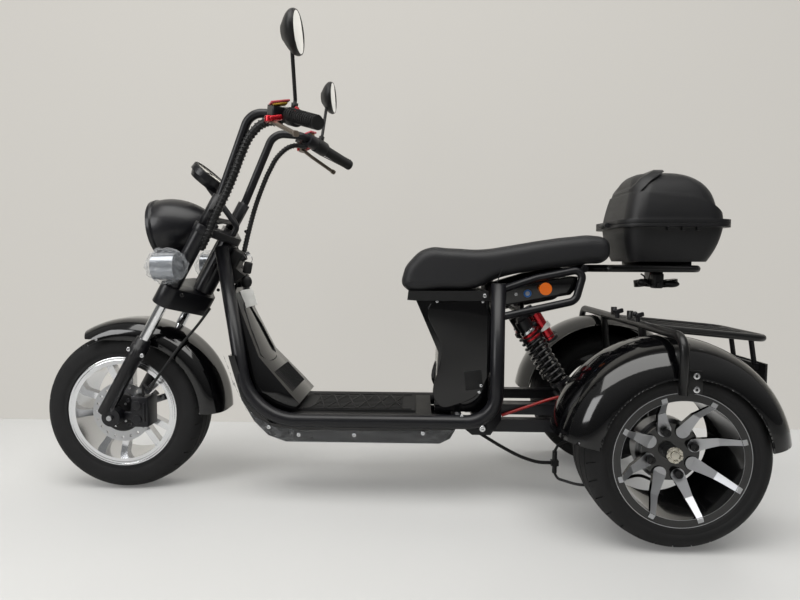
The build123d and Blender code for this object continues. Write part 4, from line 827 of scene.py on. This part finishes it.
# ---------------------------------------------------------------- film under the floor
# Clear packing film is still stuck along both sides of the belly, loose and wrinkled.
# Four bright screws a side hold the belly pan through it.
belly_low = [(1178, 400), (1160, 345), (1125, 272), (1088, 222), (1040, 190), (985, 181), (620, 180), (560, 188)]
belly_top = [(1196, 440), (1172, 372), (1140, 300), (1100, 252), (1052, 226), (985, 218), (620, 218), (570, 221)]
belly_low.append((530, 222))
belly_top.append((533, 226))
film_half, screw_face = 139, 136.2
for side, hand in sides:
    bpy.ops.object.select_all(action="DESELECT")
    bpy.ops.mesh.primitive_grid_add(x_subdivisions=120, y_subdivisions=14, size=2)
    wrap = bpy.context.object
    for corner in wrap.data.vertices:
        along = (corner.co.x + 1) / 2 * (len(belly_low) - 1)
        step = min(int(along), len(belly_low) - 2)
        up = (corner.co.y + 1) / 2
        places = []
        for outline in (belly_low, belly_top):
            first, second = Vector(outline[step]), Vector(outline[step + 1])
            places.append(first.lerp(second, along - step))
        spot = places[0].lerp(places[1], up)
        corner.co = at(spot.x, hand * film_half, spot.y)
    crumpled(wrap, 0.009, 0.022)
    settle(side + "_belly_film", "frame", film, 25)
    join(screw_heads([(618, 212), (815, 204), (975, 203), (1062, 224)], hand * screw_face, 0.0062))
    settle(side + "_belly_screws", "frame", bright)

# ---------------------------------------------------------------- frame and seat base fastenings
# Zinc plated screws hold the seat base, the side lining and the swingarm pivot.
# The lining is a black moulding set in the side, with a blank cover low at its rear.
lining_side = [(598, 582), (560, 585), (450, 582), (448, 340), (520, 290), (574, 288), (566, 448)]
for side, hand in sides:
    heads = screw_heads([(452, 235)], hand * 160.2, 0.009)
    heads.append(cap_screw(at(509, hand * 150, 268), (0, hand, -0.4), 0.005))
    heads += screw_heads([(452, 346), (457, 327), (580, 588), (450, 588)], hand * 112.2, 0.0045)
    heads += screw_heads([(446, 605)], hand * 125.3, 0.006)
    join(heads)
    settle(side + "_frame_screws", "frame", bright)
    plate(lining_side, hand * 110, hand * 114.5, 2.0)
    settle(side + "_side_lining", "frame", gloss_black, 50)
    brick(at(474, hand * 114.8, 362), (0.05, 0.002, 0.056), 0.0008, (0, 6, 0))
    settle(side + "_blank_cover", "frame", satin_plastic)

# ---------------------------------------------------------------- tail pod
# A black moulding closes the frame under the seat's rear end.
# It holds a ringed lock, a screw and a faceted amber lamp on each side.
# blue anodised aluminium, bright at its edge
blue = finish("blue anodised ring", "#2b62a8", 0.3, metallic=0.6, coat=0.3)
ring_section = ((100, 6.5), (103, 6.5), (103.6, 8), (103, 10.5), (100, 11.5))
facet_count, facet_circles = 16, (0.0135, 0.0075)
for side, hand in sides:
    cap_screw(at(355, hand * 100, 609), (0, hand, 0), 0.0055)
    settle(side + "_pod_screw", "frame", bright)
    turned([(hand * y, r) for y, r in ring_section], at(322, 0, 611), 40)
    settle(side + "_lock_ring", "frame", blue, 40)
    disc(at(322, hand * 99.5, 611), at(322, hand * 102.2, 611), 0.0066, 32, bevel=0.0008)
    settle(side + "_lock_core", "frame", steel)
    facets = []
    for step in range(facet_count):
        angle = 2 * math.pi * step / facet_count
        for radius in facet_circles:
            spot = at(275, hand * 121.8, 625) + Vector((radius * math.cos(angle), 0, radius * math.sin(angle)))
            facets.append(brick(spot, (0.0036, 0.002, 0.0036), 0.0008, (0, 45 + math.degrees(-angle), 0)))
    facets.append(hoop(at(275, hand * 121.5, 625), (0, 1, 0), 0.0165, 0.0012, 40))
    facets.append(disc(at(275, hand * 121.6, 625), at(275, hand * 123.4, 625), 0.004, 16, bevel=0.001))
    join(facets)
    settle(side + "_lens_facets", "frame", amber, 30)

# ---------------------------------------------------------------- rear shock details
# Each damper hangs beside its reservoir: a red alloy bottle with black ends and a blank white label.
# Its spring is held by a red collar at the top, under a plated cap.
# blank paper, slightly grey
white_label = finish("blank white label", "#d9d9d6", 0.5)
spring_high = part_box("shock_springs")[1]
bottle_low, bottle_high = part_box("shock_reservoirs")
bottle_middle = (bottle_low + bottle_high) / 2
bottle_radius = 0.019
down = Vector((-0.0875, 0, -0.119)).normalized()
for side, hand in sides:
    middle = Vector((bottle_middle.x, hand * (bottle_high.y - bottle_radius), bottle_middle.z))
    ends = []
    for end in (-1, 1):
        start = middle + down * end * 0.043
        ends.append(disc(start, start + down * end * 0.009, 0.0195, 40, bevel=0.002))
    ends.append(hoop(middle + down * 0.036, down, 0.0192, 0.0014, 48))
    join(ends)
    settle(side + "_reservoir_ends", "frame", frame_paint)
    disc(middle - down * 0.012, middle + down * 0.012, 0.0197, 48)
    bpy.ops.object.mode_set(mode="EDIT")
    bpy.ops.mesh.select_all(action="SELECT")
    label_edge = middle + Vector((-0.006, 0, 0.003))
    bpy.ops.mesh.bisect(plane_co=label_edge, plane_no=(0.8, -0.2 * hand, 0.5), clear_outer=True)
    bpy.ops.object.mode_set(mode="OBJECT")
    settle(side + "_reservoir_label", "frame", white_label)
    top = Vector((spring_high.x - 0.022, hand * (spring_high.y - 0.0225), spring_high.z - 0.012))
    collar = [disc(top - down * 0.006, top + down * 0.001, 0.0265, 48, bevel=0.0015)]
    collar.append(disc(top - down * 0.018, top - down * 0.011, 0.0245, 48, bevel=0.0015))
    join(collar)
    settle(side + "_spring_collar", "frame", red_anodised)
    disc(top - down * 0.03, top - down * 0.019, 0.0238, 48, bevel=0.003)
    settle(side + "_damper_cap", "frame", bright)

# ---------------------------------------------------------------- handlebar wiring
# The leads run from the switches down each bar inside black spiral wrap, tied to the bar.
# A spiral of flat plastic strip is wound round a bundle of wires.
# polyethylene strip, dull
wrap_plastic = finish("black spiral wrap", "#0a0a0b", 0.42, uneven=0.08)


def wrapped(name, places, radius, pitch):
    """A wiring bundle with a spiral strip wound round it."""
    core = tube(places, radius * 0.86, resolution=16)
    line = tube(places, 0, resolution=24)
    run = [corner.co.copy() for corner in line.data.vertices]
    bpy.data.objects.remove(line)
    winding, turn_now, side_way = [], 0.0, Vector((0, 1, 0))
    for first, second in zip(run, run[1:]):
        along = (second - first).normalized()
        side_way = (side_way - along * side_way.dot(along)).normalized()
        other = along.cross(side_way)
        count = max(1, round((second - first).length / (pitch / 8)))
        for step in range(count):
            here = first.lerp(second, step / count)
            winding.append(here + (side_way * math.cos(turn_now) + other * math.sin(turn_now)) * radius * 0.9)
            turn_now += 2 * math.pi * (second - first).length / count / pitch
    strip = bpy.data.curves.new("strip", "CURVE")
    strip.dimensions = "3D"
    strip.bevel_depth = radius * 0.2
    strip.bevel_resolution = 1
    path = strip.splines.new("POLY")
    path.points.add(len(winding) - 1)
    for knot, place in zip(path.points, winding):
        knot.co = (*place, 1)
    join([core, meshed(strip)])
    settle(name, "steering", wrap_plastic, 60)
    return bpy.context.object


near = [at(1010, 168, 1078), at(1052, 158, 1082), at(1098, 147, 1052), at(1128, 141, 1000), at(1149, 138, 950)]
near += [at(1176, 137, 890), at(1198, 136, 848), at(1228, 126, 790), at(1262, 110, 735)]
thick = wrapped("left_bar_wiring", near, 0.0125, 0.012)
far = [at(1003, -165, 1076), at(1048, -156, 1078), at(1091, -147, 1048), at(1122, -142, 998), at(1144, -138, 948)]
far += [at(1168, -132, 880), at(1187, -118, 800), at(1200, -92, 715)]
wrapped("right_bar_wiring", far, 0.0085, 0.01)
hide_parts("bar_cables")

# ---------------------------------------------------------------- handlebar fittings
# Alloy perches clamp the levers; the brake cylinders carry red caps over gold anodised bowls.
# The grips are rubber with rings, and the switches have coloured buttons.
# clear red cap over pale fluid
pink_lid = finish("translucent red lid", "#a8404a", 0.3, coat=0.4)
# gold anodised aluminium
gold = finish("gold anodised bowl", "#b5923a", 0.28, metallic=0.85)
for side, hand in sides:
    brick(at(1007, hand * 199, 1124), (0.052, 0.03, 0.006), 0.002, (0, 12, hand * 28))
    settle(side + "_fluid_lid", "steering", pink_lid)
    brick(at(1007, hand * 199, 1118), (0.04, 0.025, 0.007), 0.003, (0, 12, hand * 28))
    settle(side + "_fluid_bowl", "steering", gold)
    lever_pivot = disc(at(1033, hand * 205, 1086), at(1033, hand * 205, 1070), 0.013, 32, bevel=0.002)
    perch = brick(at(1016, hand * 206, 1080), (0.034, 0.022, 0.014), 0.003, (0, 14, hand * 30))
    join([lever_pivot, perch])
    settle(side + "_lever_perch", "steering", red_anodised)
    start, end = at(984, hand * 238, 1086), at(876, hand * 324, 1040)
    way = (end - start).normalized()
    first_ring, ring_pitch = 0.022, 0.0085
    join([hoop(start + way * (first_ring + step * ring_pitch), way, 0.0163, 0.0016, 40) for step in range(14)])
    settle(side + "_grip_rings", "steering", soft_rubber, 60)
    switch = at(960, hand * 232, 1078)
    button_foot = switch + Vector((-0.006, hand * 0.012, 0.012))
    disc(button_foot, switch + Vector((-0.012, hand * 0.018, 0.018)), 0.006, 24, bevel=0.001)
    settle(side + "_switch_button", "steering", red_anodised)

# ---------------------------------------------------------------- mirrors
# Black plastic shells with a rounded glass set in the rear face, held by a thin plastic edge.
# Glass and edge are made round and then stretched to the shell's shape.
# silvered glass
mirror_glass = finish("mirror glass", "#e8eaec", 0.02, metallic=1.0)
mirror_low, mirror_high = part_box("mirrors")
stretch = Vector((1, 1.34, 0.96))
for side, hand in sides:
    middle = Vector((mirror_low.x, hand * (mirror_high.y - 0.072), mirror_high.z - 0.052))
    kept_middle = (0, (1 - stretch.y) * middle.y, (1 - stretch.z) * middle.z)
    glass = disc(middle + Vector((0.002, 0, 0)), middle - Vector((0.0012, 0, 0)), 0.05, 64, bevel=0.0005)
    glass.scale, glass.location = stretch, kept_middle
    settle(side + "_mirror_glass", "steering", mirror_glass, 30)
    edge = hoop(middle, (1, 0, 0), 0.0505, 0.0018)
    edge.scale, edge.location = stretch, kept_middle
    settle(side + "_mirror_edge", "steering", satin_plastic, 60)

# ---------------------------------------------------------------- lock, keys and tag
# A key stands in the barrel of the steering lock, which is screwed to the frame.
# A ring, a black fob and a blank paper tag hang from it.
def ball(middle, radius, squeeze=(1, 1, 1)):
    """A ball, or an egg where squeeze says so."""
    bpy.ops.object.select_all(action="DESELECT")
    bpy.ops.mesh.primitive_uv_sphere_add(segments=32, ring_count=16, radius=radius, location=middle, scale=squeeze)
    bpy.ops.object.transform_apply()
    return bpy.context.object


barrel_top = at(1163, 12, 716)
lock_parts = [disc(at(1176, 12, 708), barrel_top, 0.013, 32, bevel=0.002)]
lock_parts.append(hoop(barrel_top, barrel_top - at(1176, 12, 708), 0.0115, 0.0016, 32))
join(lock_parts)
settle("lock_barrel", "frame", frame_paint)
key = brick(at(1155, 12, 722), (0.016, 0.0024, 0.012), 0.0008, (0, 30, 0))
join([key, hoop(at(1153, 12, 706), (0.2, 1, 0), 0.014, 0.001, 40)])
settle("key_and_ring", "frame", bright)
fob = brick(at(1154, 14, 680), (0.026, 0.012, 0.036), 0.005, (0, -12, 0))
fob_ball = ball(at(1158, 15, 637), 0.017, (1, 0.6, 1.15))
strap = tube([at(1152, 12, 696), at(1152, 13, 688), at(1157, 15, 655), at(1158, 15, 645)], 0.0016)
join([fob, fob_ball, strap])
settle("key_fob", "frame", satin_plastic)
tag = brick(at(1150, 16, 588), (0.036, 0.0012, 0.052), 0.0003, (0, 18, 8))
bpy.ops.object.mode_set(mode="EDIT")
bpy.ops.mesh.select_all(action="SELECT")
bpy.ops.mesh.subdivide(number_cuts=6)
bpy.ops.object.mode_set(mode="OBJECT")
crumpled(tag, 0.003, 0.03)
settle("blank_tag", "frame", white_label)

# ---------------------------------------------------------------- top box catch, clamp knobs and mudguard screws
# A moulded plastic catch with a small lock holds the lid shut at the rear.
# Wing knobs clamp the box and the rack, and two screws a side hold the rear mudguards.
box_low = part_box("top_box_lid")[0]
catch = [brick(Vector((box_low.x - 0.002, 0, 0.812)), (0.012, 0.046, 0.034), 0.004)]
catch.append(brick(Vector((box_low.x - 0.007, 0, 0.803)), (0.006, 0.03, 0.014), 0.002))
join(catch)
settle("box_catch", "top_box_lid", satin_plastic)
lock_face = Vector((box_low.x - 0.0075, 0, 0.818))
disc(lock_face, Vector((box_low.x - 0.0095, 0, 0.818)), 0.0065, 32, bevel=0.0006)
settle("box_catch_lock", "top_box_lid", bright)
knob_left = 196
knobs = []
for x, z in ((99, 566), (44, 556)):
    knobs.append(disc(at(x, knob_left, z - 14), at(x, knob_left, z), 0.006, 20, bevel=0.001))
    knobs.append(brick(at(x - 4, knob_left, z + 4), (0.026, 0.009, 0.012), 0.003, (0, 12, 20)))
    knobs.append(ball(at(x + 8, knob_left, z + 7), 0.007))
join(knobs)
settle("rack_knobs", "frame", frame_paint)
under = [ball(at(-19, 50, 643), 0.013, (1.1, 1, 0.8)), ball(at(-105, 44, 638), 0.017, (1.4, 1, 0.6))]
under.append(brick(at(-64, 42, 648), (0.03, 0.036, 0.045), 0.006))
under.append(disc(at(-64, 20, 636), at(-64, 66, 636), 0.008, 24, bevel=0.002))
strap_run = [(-14, 52, 668), (-24, 56, 656), (-14, 52, 642), (-36, 56, 632), (-60, 58, 640), (-88, 50, 650)]
under.append(tube([at(*place) for place in strap_run], 0.0022))
join(under)
settle("box_clamp_knobs", "frame", satin_plastic)
fender_face = 415
heads = []
for hand in (-1, 1):
    heads += screw_heads([(-10, 440), (-11, 408)], hand * fender_face, 0.0085)
join(heads)
settle("fender_screws", "frame", bright)

# ---------------------------------------------------------------- floor, light and camera
# A pale floor and a pale wall close behind, under three soft lamps, as in a small studio.
# The wall is seen from its front only, so that the vehicle shows from behind it too.
def pale(name, code, shade):
    """A plain pale surface: shade is how much of it takes light and shadow, the rest shows its colour as it is."""
    made = bpy.data.materials.new(name)
    made.use_nodes = True
    tree = made.node_tree
    shader = tree.nodes["Principled BSDF"]
    shader.inputs["Base Color"].default_value = colour(code)
    shader.inputs["Roughness"].default_value = 0.7
    glow = add_node(tree, "ShaderNodeEmission", {"Color": colour(code), "Strength": 1.0})
    rays = add_node(tree, "ShaderNodeLightPath")
    seen = add_node(
        tree,
        "ShaderNodeMath",
        {"operation": "MAXIMUM"},
        {0: rays.outputs["Is Camera Ray"], 1: rays.outputs["Is Transmission Ray"]},
    )
    share = add_node(tree, "ShaderNodeMath", {"operation": "MULTIPLY", 1: 1 - shade}, {0: seen.outputs["Value"]})
    mix = add_node(
        tree,
        "ShaderNodeMixShader",
        links={0: share.outputs["Value"], 1: shader.outputs["BSDF"], 2: glow.outputs["Emission"]},
    )
    behind = add_node(tree, "ShaderNodeNewGeometry")
    clear = add_node(tree, "ShaderNodeBsdfTransparent")
    one_sided = add_node(
        tree,
        "ShaderNodeMixShader",
        links={0: behind.outputs["Backfacing"], 1: mix.outputs["Shader"], 2: clear.outputs["BSDF"]},
    )
    tree.links.new(one_sided.outputs["Shader"], tree.nodes["Material Output"].inputs["Surface"])
    return made


bpy.ops.object.select_all(action="DESELECT")
bpy.ops.mesh.primitive_plane_add(size=30, location=(0, 0, -0.0005))
floor = bpy.context.object
floor.name = "floor"
bpy.ops.object.transform_apply()
floor.data.materials.append(pale("pale floor", "#c6c6c5", 0.8))
bpy.ops.mesh.primitive_plane_add(size=12, location=(0, -0.69, 6), rotation=(math.radians(-90), 0, 0))
wall = bpy.context.object
wall.name = "wall"
bpy.ops.object.transform_apply()
wall.data.materials.append(pale("pale wall", "#cbc8c2", 0.15))
wall.visible_shadow = False

world = bpy.data.worlds.new("studio")
bpy.context.scene.world = world
world.use_nodes = True
tree = world.node_tree
tree.nodes["Background"].inputs["Color"].default_value = colour("#d6d6d4")
place = add_node(tree, "ShaderNodeTexCoord")
height = add_node(tree, "ShaderNodeSeparateXYZ", links={"Vector": place.outputs["Generated"]})
low_light, high_light, seen_light = 0.1, 0.62, 0.85
room = add_node(
    tree,
    "ShaderNodeMapRange",
    {"From Min": -0.05, "From Max": 0.6, "To Min": low_light, "To Max": high_light},
    {"Value": height.outputs["Z"]},
)
rays = add_node(tree, "ShaderNodeLightPath")
seen = add_node(tree, "ShaderNodeMapRange", {"To Max": seen_light}, {"Value": rays.outputs["Is Camera Ray"]})
level = add_node(
    tree, "ShaderNodeMath", {"operation": "MAXIMUM"}, {0: room.outputs["Result"], 1: seen.outputs["Result"]}
)
tree.links.new(level.outputs["Value"], tree.nodes["Background"].inputs["Strength"])


def lamp(name, place, aim, size, power, tint="#ffffff"):
    """A soft area light, aimed at a point."""
    light = bpy.data.lights.new(name, "AREA")
    light.shape = "RECTANGLE"
    light.size, light.size_y = size
    light.energy = power
    light.color = colour(tint)[:3]
    holder = bpy.data.objects.new(name, light)
    bpy.context.scene.collection.objects.link(holder)
    holder.location = place
    holder.rotation_euler = (Vector(aim) - Vector(place)).to_track_quat("-Z", "Y").to_euler()


lamp("ceiling light", (0.2, 1.2, 3.0), (0, 0, 0.2), (3.4, 2.0), 105, "#fffefb")
lamp("side light", (2.6, 2.2, 1.8), (0.2, 0, 0.5), (1.2, 1.6), 45)
lamp("back light", (-2.4, -1.5, 2.4), (0, 0, 0.5), (1.6, 1.2), 30)

camera = bpy.data.objects.new("camera", bpy.data.cameras.new("camera"))
bpy.context.scene.collection.objects.link(camera)
camera.location = (-0.0634, 1.7666, 0.7043)
camera.rotation_euler = [math.radians(a) for a in (86.081, -0.217, -178.049)]
camera.data.lens = 26.1
camera.data.sensor_width = 36
bpy.context.scene.camera = camera
bpy.context.scene.view_settings.view_transform = "Standard"
